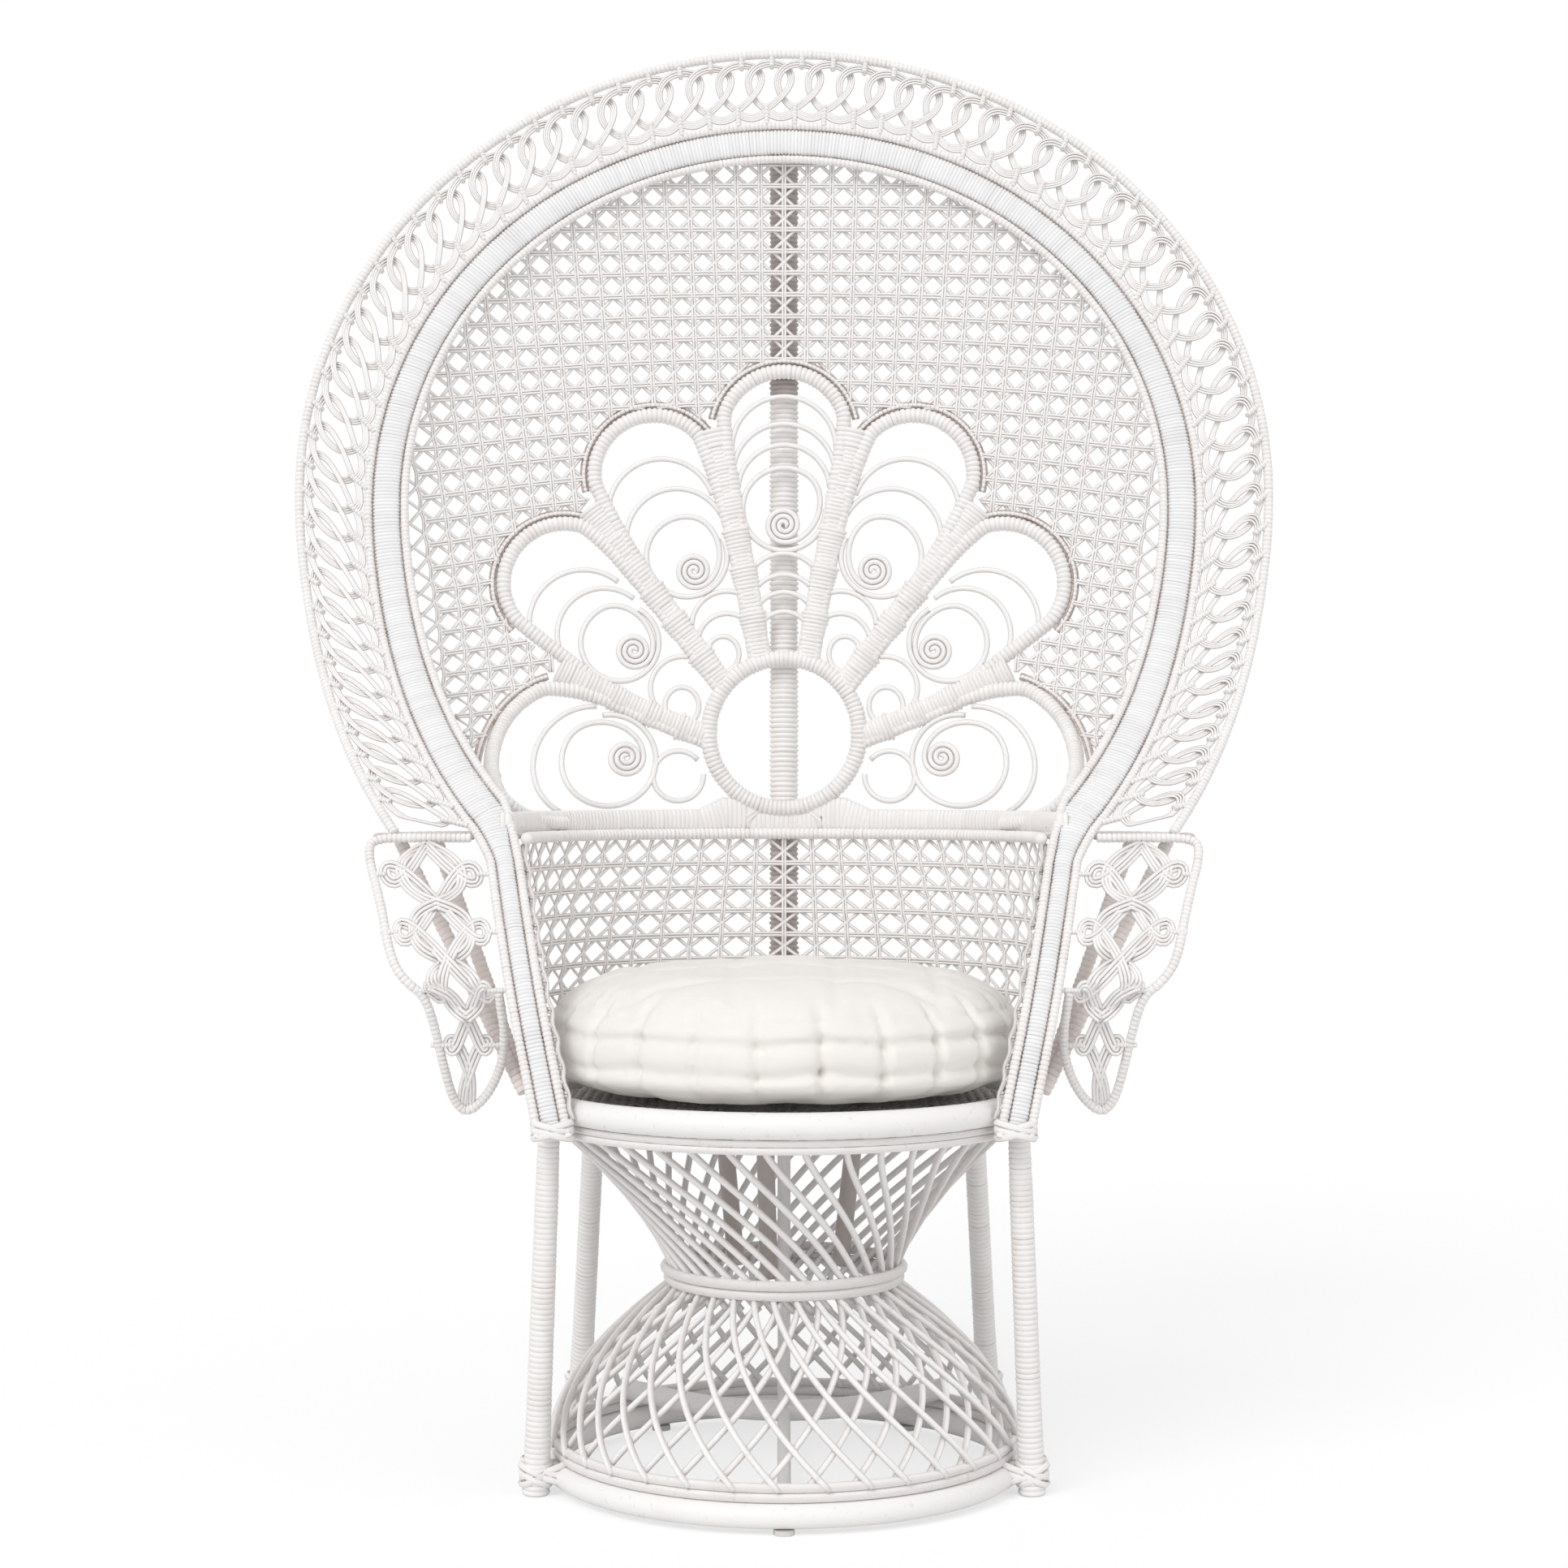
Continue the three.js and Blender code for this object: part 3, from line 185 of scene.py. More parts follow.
class Finish:
    """A material that is built up from nodes round one Principled shader."""

    def __init__(self, name, roughness=0.5):
        self.material = bpy.data.materials.new(name)
        self.material.use_nodes = True
        self.tree = self.material.node_tree
        self.shader = self.tree.nodes["Principled BSDF"]
        self.shader.inputs["Roughness"].default_value = roughness

    def feed(self, socket, value):
        if isinstance(value, Wire):
            self.tree.links.new(value.socket, socket)
        else:
            socket.default_value = value

    def node(self, kind, settings=None, sockets=None, output=0):
        made = self.tree.nodes.new(kind)
        for key, value in (settings or {}).items():
            setattr(made, key, value)
        for key, value in (sockets or {}).items():
            self.feed(made.inputs[key], value)
        return Wire(self, made.outputs[output])

    def surface(self, **looks):
        for key, value in looks.items():
            self.feed(self.shader.inputs[key.replace("_", " ")], value)
        return self.material

    def blend(self, share, first, second):
        return self.node("ShaderNodeMix", {"data_type": "RGBA"}, {0: share, 6: first, 7: second}, output=2)

    def place(self):
        return self.node("ShaderNodeTexCoord", output="Object")

    def clouds(self, scale, detail=3.0):
        return self.node("ShaderNodeTexNoise", {}, {"Vector": self.place(), "Scale": scale, "Detail": detail})

    def between(self, value, low, high):
        """A smooth rise from 0 where the value is low to 1 where it is high."""
        smooth = {"interpolation_type": "SMOOTHSTEP"}
        return self.node("ShaderNodeMapRange", smooth, {0: value, 1: low, 2: high})

    def run_and_round(self):
        """Corner coordinates of a cane: the run along it and the share of the way round it."""
        pair = self.node("ShaderNodeUVMap", {"uv_map": "cane"})
        run = self.node("ShaderNodeSeparateXYZ", {}, {0: pair})
        return run, Wire(self, run.socket.node.outputs[1])

    def relief(self, height, distance, strength=1.0):
        return self.node("ShaderNodeBump", {}, {"Strength": strength, "Distance": distance, "Height": height})


paint_white = (0.885, 0.87, 0.862, 1)
paint_worn = (0.79, 0.745, 0.72, 1)
# A warm brown for the grooves between wraps and for grains, also used as painted shade down the flanks of
# canes.
groove_and_shade_brown = (0.42, 0.335, 0.30, 1)
patch_scale = 30.0
grain_scale = 160.0
brush_scale = 420.0
brush_depth = 0.4 * mm


def painted(name, white=paint_white, flank_shade_share=0.0, wear_share=0.3):
    """Brushed white paint on bare cane: soft clouds where the paint is rubbed thin, a few warm grains, and,
    where a share is given, painted shade down both flanks of the cane in a warm brown."""
    finish = Finish(name)
    _, turn = finish.run_and_round()
    patches = finish.between(finish.clouds(patch_scale), 0.52, 0.75)
    grains = finish.between(finish.clouds(grain_scale, 4.0), 0.60, 0.72)
    colour = finish.blend(patches * wear_share, white, paint_worn)
    colour = finish.blend(grains * (wear_share * 0.6), colour, groove_and_shade_brown)
    # Painted shade: both flanks of the cane darken towards warm brown, standing for the shade down its sides
    # and in the gaps between canes.
    if flank_shade_share:
        flank_shade = abs((turn * (2 * np.pi)).of("COSINE")) ** 3.0
        colour = finish.blend(flank_shade * flank_shade_share, colour, groove_and_shade_brown)
    brushed = finish.clouds(brush_scale, 2.0)
    return finish.surface(Base_Color=colour, Roughness=patches * 0.15 + 0.42, Specular_IOR_Level=0.3,
                          Normal=finish.relief(brushed, brush_depth, 0.35))


smooth_paint = painted("painted_pole")
piece("bottom_ring", [sweep(circle(base_radius, rail_height), upright, rail_radius, sides=16, closed=True)],
      smooth_paint, ["base_rail"])

# Glides
# Moulded nylon discs, one under the front of the ring and two under its rear, each fixed by a tack.
nylon = Finish("glide_nylon")
nylon_mottle = nylon.clouds(220.0)
nylon_white = (0.72, 0.70, 0.67, 1)
nylon_dull = (0.60, 0.57, 0.54, 1)
nylon_look = nylon.blend(nylon_mottle, nylon_white, nylon_dull)
nylon.surface(Base_Color=nylon_look, Roughness=nylon_mottle * 0.2 + 0.3)
for node in ("glide_front", "glide_rear_left", "glide_rear_right"):
    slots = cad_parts[node].data.materials
    slots.clear()
    slots.append(nylon.material)

# Trim canes
# Two split canes pinned on top of the ring, one above the other, that cover the cage's nailed ends.
# The same pair runs under the seat ring.
def box_heights(node):
    """The lowest and the highest height of a node's box."""
    return [corner.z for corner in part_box(node)]


def trim_height(node):
    """The middle of a trim cane's box."""
    return sum(box_heights(node)) / 2


trim_radius = 4.6 * mm
trim_paint = painted("painted_trim", flank_shade_share=0.25)
for node in ("base_trim_lower", "base_trim_upper"):
    ring = circle(base_radius, trim_height(node))
    piece(node + "_cane", [sweep(ring, upright, trim_radius, sides=10, closed=True)], trim_paint, [node])

# Lower cage
# Two layers of thin canes nailed inside the ring and drawn up to the waist: the outer layer leans one way,
# the inner layer the other, so that they cross in open diamonds.
cage_canes = 34
cage_cane_radius = 3.25 * mm
waist_radius = 108 * mm
cage_low, cage_high = box_heights("base_cage")
cage_twist = np.radians(36)
cage_paint = painted("painted_cage_cane", flank_shade_share=0.3)
cage_tuck = 7 * mm
cage_layer_offset = 3.4 * mm
cage_layer_shift = 0.35
dome_power = 1.75


def dome(rise):
    """Radius of the dome at a share of its height: nearly upright at the ring, then curving in."""
    return waist_radius + (base_radius - waist_radius) * (1 - rise ** dome_power)


def cage(canes, radius_at, low, high, twist, bend, layer, stations=26, shift=0.0):
    """Canes that climb a body of revolution while they turn round it: the angle is the cane's own place
    plus the twist times the share still to climb, raised to the bend; the layer moves them in or out. Each
    cane strays from its place by a little, as laid by hand."""
    rng = np.random.default_rng(canes + round(layer / mm))
    rise = np.linspace(0, 1, stations)
    place = 2 * np.pi * (np.arange(canes) + shift + rng.uniform(-0.07, 0.07, canes)) / canes
    angle = place[:, None] + twist * (1 - rise) ** bend
    radius = radius_at(rise) + layer
    height = low + (high - low) * rise
    flat = [radius * np.cos(angle), radius * np.sin(angle), np.broadcast_to(height, angle.shape)]
    return np.stack(flat, -1)


def outward(route):
    """The level direction away from the middle axis, for each point of the routes."""
    return unit(route * [1, 1, 0])


cage_foot = cage_low - cage_tuck
cage_head = cage_high + cage_tuck / 2
cage_layers = []
for sign, shift in ((1, 0.0), (-1, cage_layer_shift)):
    routes = cage(cage_canes, dome, cage_foot, cage_head, sign * cage_twist, 1.0,
                  sign * cage_layer_offset, shift=shift)
    cage_layers.append(sweep(routes, outward(routes), cage_cane_radius, sides=8))
piece("lower_cage_canes", cage_layers, cage_paint, ["base_cage"])

# Waist
# Two canes bound side by side round the narrowest place, over the ends of both cages.
waist_cane_radius = 5.2 * mm
for node in ("waist_cane_lower", "waist_cane_upper"):
    low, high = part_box(node)
    ring = circle((high.x - low.x) / 2 - waist_cane_radius, trim_height(node), 128)
    piece(node + "_binding", [sweep(ring, upright, waist_cane_radius, sides=12, closed=True)],
          trim_paint, [node])

# Upper cage
# One layer of canes that leans round as it opens from the waist to the seat ring, like an hourglass.
# Every cane leans the same way, so the far side shows through as crossing lines.
flare_canes = 38
flare_cane_radius = 3.5 * mm
flare_low, flare_high = box_heights("seat_cage")
flare_twist = np.radians(58)
flare_top_radius = 237 * mm
flare_tuck = 6 * mm
flare_power = 1.6
flare_bend = 1.5


def flare(rise):
    """Radius of the upper cage at a share of its height: slow to open at the waist, then ever faster."""
    return waist_radius + (flare_top_radius - waist_radius) * np.clip(rise, 0, 1) ** flare_power


flare_routes = cage(flare_canes, flare, flare_low - 2 * flare_tuck, flare_high + flare_tuck,
                    flare_twist, flare_bend, 0.0, stations=30)
piece("upper_cage_canes", [sweep(flare_routes, outward(flare_routes), flare_cane_radius, sides=8)],
      cage_paint, ["seat_cage"])

# Legs
# Four poles that lean out from the seat ring to the floor, each wound from end to end with flat cane and
# flared at its foot, where crossing strips bind it to the bottom ring.
leg_radius = 11.8 * mm
leg_wrap = 5.4 * mm
leg_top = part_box("front_leg_left")[1].z
leg_top_reach = 259.3 * mm
leg_top_back_shares = {True: -0.462, False: 0.62}
leg_start_shares = {True: 0.004, False: 0.022}
front_foot_reach = 261 * mm
front_foot_back_share = -0.33
rear_foot_half = 233 * mm
rear_foot_depth = 330 * mm
leg_radius_shares = [1.2, 1.16, 1.07, 1.04, 1.0, 0.9]
leg_height_shares = [0, 0.1, 0.22, 0.5, 0.8, 1]
strip_size = (3.4 * mm, 1.1 * mm)
ring_joint_inset = 12 * mm
ring_joint_height = 22 * mm
ring_joint_radii = (26 * mm, 17 * mm)
ring_joint_lean = 9 * mm
ring_joint_spacing = 7 * mm
foot_binding_height = 21 * mm
foot_binding_radii = (15.6 * mm, 15.6 * mm)
foot_binding_lean = 7 * mm
foot_binding_spacing = 8 * mm


def evenly(route, shares, values=None):
    """Points, or other values given at a route's points, read off at shares of the route's length."""
    steps = np.linalg.norm(np.diff(route, axis=0), axis=1)
    runs = np.concatenate([[0], np.cumsum(steps)]) / steps.sum()
    read = route if values is None else np.asarray(values, float)
    return np.stack([np.interp(shares, runs, column) for column in read.T], -1)


def wound(route, side, width, pitch, depth=None, sides=8, closed=False, rise=0.15, seed=1):
    """A pole wound with flat cane: four stations to each wrap make a low round ridge, whose height strays
    from wrap to wrap. The first corner coordinate counts the wraps. A closed route ends where it starts."""
    route = np.asarray(route, float)
    length = np.linalg.norm(np.diff(route, axis=0), axis=1).sum()
    wraps = max(2, round(length / pitch))
    stations = 4 * wraps + (0 if closed else 1)
    shares = np.arange(stations) / (4 * wraps)
    ridge = np.array([0, 0.75, 1, 0.75])[np.arange(stations) % 4]
    stray = np.random.default_rng(seed).uniform(0.75, 1.25, wraps + 1)[np.arange(stations) // 4]
    swell = 1 - rise + rise * ridge * stray
    sized = [np.full(len(route), value) if np.ndim(value) == 0 else value
             for value in (width, width if depth is None else depth)]
    width, depth = evenly(route, shares, np.stack(sized, -1)).T
    facing = side if np.ndim(side) == 1 else unit(evenly(route, shares, side))
    counts = np.arange(4 * wraps + 1) / 4 + 17 * seed
    return sweep(evenly(route, shares), facing, width * swell, depth * swell, sides, closed, counts)


def binding(middle, radii, lean, spacing):
    """Four crossing strips round an upright joint: each is an oval of the two radii, across and in depth,
    tipped up and down by the lean one way and then the other, so that the strips cross on both faces."""
    turn = 2 * np.pi * np.arange(40) / 40
    made = []
    for number in range(4):
        tip = lean if number % 2 else -lean
        shift = spacing * (number // 2 - 0.5)
        grow = 1 + 0.02 * (number % 2)
        oval = np.stack([-grow * radii[0] * np.cos(turn), -grow * radii[1] * np.sin(turn),
                         shift + tip * np.cos(turn)], -1)
        counts = number + np.linspace(0.3, 0.7, 41)
        made.append(sweep(middle + oval, unit(oval), *strip_size, sides=6, closed=True, counts=counts))
    return made


wear_scale = 28.0
fibre_scale = 520.0
wrap_depth = 0.5 * mm
dim_fade = 20 * mm


def wound_paint(name, white=paint_white, groove=groove_and_shade_brown, groove_share=0.75, wear_share=0.25,
                worn=paint_worn, dim=None, lit_heights=(0.0, 0.0)):
    """White paint over wound cane: each wrap has its own tone, the grooves between wraps keep the bare
    brown, and here and there a groove is a dark crack. A dim colour takes the white's place outside the
    lit heights."""
    finish = Finish(name, 0.55)
    run, _ = finish.run_and_round()
    # Painted shade: outside the lit heights the white fades to the dim colour.
    if dim:
        height = finish.node("ShaderNodeSeparateXYZ", {}, {0: finish.place()}, output=2)
        low, high = lit_heights
        lit = finish.between(height, low, low + dim_fade)
        lit = lit * (1 - finish.between(height, high, high + dim_fade))
        white = finish.blend(lit, dim, white)
    one_way = {"noise_dimensions": "1D"}
    tone = finish.node("ShaderNodeTexWhiteNoise", one_way, {"W": (run + 0.02).of("FLOOR")})
    crack = finish.node("ShaderNodeTexWhiteNoise", one_way, {"W": (run + 0.5).of("FLOOR") + 0.37})
    crack = finish.between(crack, 0.86, 0.99)
    away = abs(run.of("FRACT") - 0.5) * 2.0
    groove_line = away ** 9.0
    patches = finish.between(finish.clouds(wear_scale), 0.5, 0.72)
    colour = finish.blend(tone * 0.35, white, worn)
    colour = finish.blend(patches * wear_share, colour, worn)
    grooved = groove_line * groove_share * (crack * 0.8 + patches * 0.35 + 0.45)
    colour = finish.blend(grooved, colour, groove)
    fibre = finish.clouds(fibre_scale, 2.0)
    height = (1 - away ** 3.0) + fibre * 0.35
    return finish.surface(Base_Color=colour, Roughness=tone * 0.12 + 0.46, Specular_IOR_Level=0.3,
                          Normal=finish.relief(height, wrap_depth, 0.7))


def level_way(hand, back_share):
    """The level direction to one hand that goes back by a share."""
    return np.array([hand * np.sqrt(1 - back_share ** 2), back_share, 0])


leg_paint = wound_paint("wound_leg", wear_share=0.45)
leg_names = ("front_leg_left", "front_leg_right", "rear_leg_left", "rear_leg_right")
for number, node in enumerate(leg_names):
    hand = -1 if node.endswith("left") else 1
    front = node.startswith("front")
    top = level_way(hand, leg_top_back_shares[front]) * leg_top_reach + upright * leg_top
    if front:
        foot = front_foot_reach * level_way(hand, front_foot_back_share)
    else:
        foot = np.array([hand * rear_foot_half, rear_foot_depth, 0])
    heights = np.linspace(leg_start_shares[front], 1, 60)
    route = foot + (top - foot) * heights[:, None]
    width = leg_radius * np.interp(heights, leg_height_shares, leg_radius_shares)
    parts = [wound(route, backward, width, leg_wrap, sides=16, rise=0.07, seed=number + 2)]
    if front:
        joint = foot - unit(foot) * ring_joint_inset + upright * ring_joint_height
        parts += binding(joint, ring_joint_radii, ring_joint_lean, ring_joint_spacing)
    joint = foot + upright * foot_binding_height
    parts += binding(joint, foot_binding_radii, foot_binding_lean, foot_binding_spacing)
    piece(node + "_wound", parts, leg_paint, [node])

# Brace, stretcher and inner post
# A bare pole across the rear of the bottom ring, sagging in its middle, a stretcher from it to the front
# of the ring, and a post that leans from it up to the seat; short props stand under the seat's deck.
brace_low, brace_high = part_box("base_brace")
brace_back = 150 * mm
brace_half = brace_high.x
brace_radius = 11 * mm
brace_end_height = brace_high.z - brace_radius
brace_middle_height = brace_low.z + brace_radius
brace_reach = np.linspace(-1, 1, 40)
brace_sag = brace_middle_height + (brace_end_height - brace_middle_height) * brace_reach ** 2
brace_route = np.stack([brace_half * brace_reach, np.full(40, brace_back), brace_sag], -1)
piece("rear_brace", [sweep(brace_route, upright, brace_radius, sides=14)], smooth_paint, ["base_brace"])


def pole(foot, head):
    """A straight line of points from a foot to a head."""
    return foot + (head - foot) * np.linspace(0, 1, 24)[:, None]


post_radius = 6.8 * mm
post_head_depth = 20 * mm
post_foot = np.array([0, brace_back, brace_middle_height])
post_head = np.array([0, post_head_depth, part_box("base_post")[1].z - post_radius])
piece("inner_post", [sweep(pole(post_foot, post_head), backward, post_radius, sides=12)],
      smooth_paint, ["base_post"])
ring_front = np.array([0, -base_radius + rail_radius / 2, rail_height])
piece("front_stretcher", [sweep(pole(ring_front, post_foot), upright, post_radius, sides=12)],
      smooth_paint, ["base_stretcher"])

bare_cane = (0.36, 0.29, 0.26, 1)
prop_dull = (0.50, 0.45, 0.42, 1)
# The props are painted a dull brown-grey, far darker than the white of the other poles.
prop_paint = painted("dull_prop_paint", white=prop_dull, wear_share=0.5)
prop_radius = 9 * mm
prop_foot_share = 0.75
prop_foot_height = 205 * mm
prop_head_height = 379 * mm
prop_heads = np.array([(-66, 60), (78, 55), (-20, -40)]) * mm
props = []
for x, y in prop_heads:
    foot = np.array([x * prop_foot_share, y * prop_foot_share, prop_foot_height])
    head = np.array([x, y, prop_head_height])
    props.append(sweep(pole(foot, head), backward, prop_radius, sides=12))
piece("seat_props", props, prop_paint)

# Seat ring, trims and deck
# A second bent pole, smooth and thickly painted, two split canes pinned under it, and a deck of cane laid
# both ways between its sides.
seat_radius = 240 * mm
seat_rail_radius = 13 * mm
seat_height = 384 * mm
seat_circle = circle(seat_radius, seat_height)
piece("seat_ring", [sweep(seat_circle, upright, seat_rail_radius, sides=16, closed=True)],
      smooth_paint, ["seat_rail"])
seat_trim_radius = 3.5 * mm
for node in ("seat_trim_lower", "seat_trim_upper"):
    ring = circle(seat_radius, trim_height(node))
    piece(node + "_cane", [sweep(ring, upright, seat_trim_radius, sides=10, closed=True)], trim_paint, [node])

deck_radius = 226 * mm
deck_pitch = 10 * mm
deck_strand = (4.3 * mm, 1.5 * mm)
deck_wave = 1.6 * mm
deck_lines = np.arange(-22, 23) * deck_pitch
deck_paint = painted("painted_deck_cane", flank_shade_share=0.3, wear_share=0.5)


def deck_layer(lines, sign, turned):
    """Flat canes side by side across the deck's circle, waving over and under those that cross them."""
    half = np.sqrt(deck_radius ** 2 - lines ** 2)
    run = np.linspace(-1, 1, 46) * half[:, None]
    lane = np.broadcast_to(lines[:, None], run.shape)
    wave = np.cos(np.pi * (run / deck_pitch + np.arange(len(lines))[:, None]))
    height = seat_height + sign * deck_wave * wave
    route = np.stack([lane, run, height] if turned else [run, lane, height], -1)
    return sweep(route, upright, *deck_strand, sides=6)


piece("seat_deck_weave", [deck_layer(deck_lines, 1, False), deck_layer(deck_lines, -1, True)],
      deck_paint, ["seat_deck"])

# Cushion
# A round pad of cream herringbone linen, filled and tufted: upright seams part its side into pillows, two
# rows of stitches draw it in, and faint quilting lines cross its top. It lies loose on the seat.
cushion_radius = 239 * mm
cushion_clearance = 0.5 * mm
cushion_foot = seat_height + seat_rail_radius + cushion_clearance
cushion_height = 86 * mm
cushion_crown = 46 * mm
cushion_around = 180
cushion_rows = 44
cushion_swell = 4 * mm
cushion_pressure = 4.0
swell_cap = 5 * mm
cloth_step = 5.5 * mm
edge_power = 0.15
level_power = 0.5


def pad(radius, foot, height, crown):
    """A closed round pad: from the middle of the foot to the middle of the top, the radius follows a cosine
    raised to a small power and the height a sine raised to one, which makes a disc with full round edges,
    and the crown lifts the top by its share of the cubed way in from the edge."""
    lift = np.linspace(-np.pi / 2, np.pi / 2, cushion_rows)
    lift = lift[1:-1]
    reach = radius * np.cos(lift) ** edge_power
    level = np.sign(np.sin(lift)) * abs(np.sin(lift)) ** level_power
    turn = 2 * np.pi * np.arange(cushion_around) / cushion_around
    z = foot + height * (1 + level) / 2 + crown * (1 - (reach / radius) ** 3) * (level > 0)
    rings = np.stack([reach[:, None] * np.cos(turn), reach[:, None] * np.sin(turn),
                      np.broadcast_to(z[:, None], (len(reach), cushion_around))], -1)
    ends = [[0, 0, foot], [0, 0, foot + height + crown]]
    return np.concatenate([rings.reshape(-1, 3), ends])


def pad_faces():
    """Four-cornered faces between the pad's rings and three-cornered ones round its two middles."""
    rings = cushion_rows - 2
    index = np.arange(rings * cushion_around).reshape(rings, cushion_around)
    after = np.roll(index, -1, 1)
    walls = np.stack([index[:-1], after[:-1], after[1:], index[1:]], -1).reshape(-1, 4)
    foot = rings * cushion_around
    lower = [(foot, int(b), int(a)) for a, b in zip(index[0], after[0])]
    upper = [(foot + 1, int(a), int(b)) for a, b in zip(index[-1], after[-1])]
    return walls.tolist() + lower + upper


def read_off(items, key, width=1, kind=float):
    """The value, or the row of values, that each item of a mesh holds under the key."""
    values = np.empty(len(items) * width, kind)
    items.foreach_get(key, values)
    return values.reshape(-1, width) if width > 1 else values


def swollen(made, pressure, cap):
    """Cloth under air pressure without weight: twenty steps of swelling, after which no point may lie
    further from its start than the cap."""
    remesh = made.modifiers.new("remesh", "REMESH")
    remesh.mode = "VOXEL"
    remesh.voxel_size = cloth_step
    with bpy.context.temp_override(object=made, active_object=made):
        bpy.ops.object.modifier_apply(modifier="remesh")
    start = read_off(made.data.vertices, "co", 3)
    cloth = made.modifiers.new("swell", "CLOTH")
    cloth.settings.use_pressure = True
    cloth.settings.uniform_pressure_force = pressure
    cloth.settings.effector_weights.gravity = 0
    cloth.settings.quality = 5
    for step in range(1, 21):
        bpy.context.scene.frame_set(step)
    ready = made.evaluated_get(bpy.context.evaluated_depsgraph_get())
    move = read_off(ready.data.vertices, "co", 3) - start
    made.modifiers.remove(cloth)
    bpy.context.scene.frame_set(1)
    far = np.linalg.norm(move, axis=1, keepdims=True)
    return start + move * np.minimum(1, cap / np.maximum(far, 1e-9))


tuft_seams = 24
seam_start = 0.11
seam_width = 4.2 * mm
seam_depth = 7 * mm
row_shares = (0.38, 0.72)
row_width = 4 * mm
row_depth = 7 * mm
tuft_depth = 8 * mm
piping_shares = (0.15, 0.96)
piping_width = 2.4 * mm
piping_depth = 3.4 * mm
quilt_pitch = 100 * mm
quilt_width = 7 * mm
quilt_depth = 3 * mm
puff_depth = 0.8 * mm


def stitched(points):
    """Seams and stitches drawn into the pad: each is a dent whose depth falls off as a bell on both sides of
    its line. Upright seams and two rows dent the side, deepest where they cross; a square net of lines dents
    the top. The foot is pressed flat on the seat ring."""
    x, y, z = points.T
    turn = np.arctan2(y, x) + seam_start
    reach = np.hypot(x, y)
    share = (z - cushion_foot) / cushion_height
    lane = turn * tuft_seams / (2 * np.pi)
    from_seam = (lane - np.round(lane)) * 2 * np.pi / tuft_seams * cushion_radius

    def bell(distance, width):
        """A dent's depth share: one on its line, and falling off as e to the minus square."""
        return np.exp(-(distance / width) ** 2)

    side = np.clip((reach / cushion_radius - 0.86) / 0.08, 0, 1)
    stray = 0.035 * np.sin(np.round(lane) * 2.4 + 1.0) * (1 - 2 * abs(lane - np.round(lane)))
    rows = sum(bell((share - row - stray) * cushion_height, row_width) for row in row_shares)
    wander = 1 + 0.35 * np.sin(5 * turn + 1.3) * np.sin(3 * turn)
    seam = bell(from_seam, seam_width)
    dent = side * wander * (seam_depth * seam + row_depth * rows + tuft_depth * rows * seam)
    piping = sum(bell((share - row) * cushion_height, piping_width) for row in piping_shares)
    dent += side * piping_depth * piping
    top = np.clip((share - 0.9) / 0.12, 0, 1) * np.clip((0.97 - reach / cushion_radius) / 0.1, 0, 1)
    nets = [axis / quilt_pitch - 0.5 for axis in (x, y)]
    quilt = sum(bell(quilt_pitch * (net - np.round(net)), quilt_width) for net in nets)
    puff = np.sin(9.0 * x / quilt_pitch + 2 * y / quilt_pitch) * np.sin(7.0 * y / quilt_pitch)
    drop = top * (quilt_depth * quilt + puff_depth * puff)
    scale = 1 - dent / np.maximum(reach, mm)
    return np.stack([x * scale, y * scale, np.maximum(z - drop, cushion_foot)], -1)


def linen_places(mesh):
    """Corner coordinates for the weave, in metres: level ones on the top and foot, and on the side the way
    round and the height, with the way round kept whole in each face."""
    points = read_off(mesh.vertices, "co", 3) - ring_middle
    corner = points[read_off(mesh.loops, "vertex_index", kind=int)]
    sizes = read_off(mesh.polygons, "loop_total", kind=int)
    normals = read_off(mesh.polygons, "normal", 3)
    face = np.repeat(np.arange(len(sizes)), sizes)
    turn = np.arctan2(corner[:, 1], corner[:, 0])
    first = turn[np.concatenate([[0], np.cumsum(sizes)[:-1]])][face]
    turn = first + (turn - first + np.pi) % (2 * np.pi) - np.pi
    level = (abs(normals[face, 2]) > 0.72)[:, None]
    return np.where(level, corner[:, :2], np.stack([turn * cushion_radius, corner[:, 2]], -1))


cushion_mesh = bpy.data.meshes.new("round_cushion")
cushion_start = pad(cushion_radius - cushion_swell, cushion_foot + cushion_swell,
                    cushion_height - 2 * cushion_swell, cushion_crown)
cushion_mesh.from_pydata((cushion_start + ring_middle).tolist(), [], pad_faces())
cushion = placed("round_cushion", cushion_mesh)
cushion_points = swollen(cushion, cushion_pressure, swell_cap) - ring_middle
level = cushion_points[:, 2] - cushion_points[:, 2].min()
cushion_points[:, 2] = cushion_foot + level * (cushion_height + cushion_crown) / level.max()
widest = np.hypot(cushion_points[:, 0], cushion_points[:, 1]).max()
cushion_points[:, :2] *= (cushion_radius + cushion_swell) / widest
cushion.data.vertices.foreach_set("co", (stitched(cushion_points) + ring_middle).ravel())
cushion.data.polygons.foreach_set("use_smooth", np.ones(len(cushion.data.polygons), bool))
cushion.data.update()
cushion.data.uv_layers.new(name="cane").data.foreach_set("uv", linen_places(cushion.data).ravel())
finer = cushion.modifiers.new("finer", "SUBSURF")
finer.levels = finer.render_levels = 1

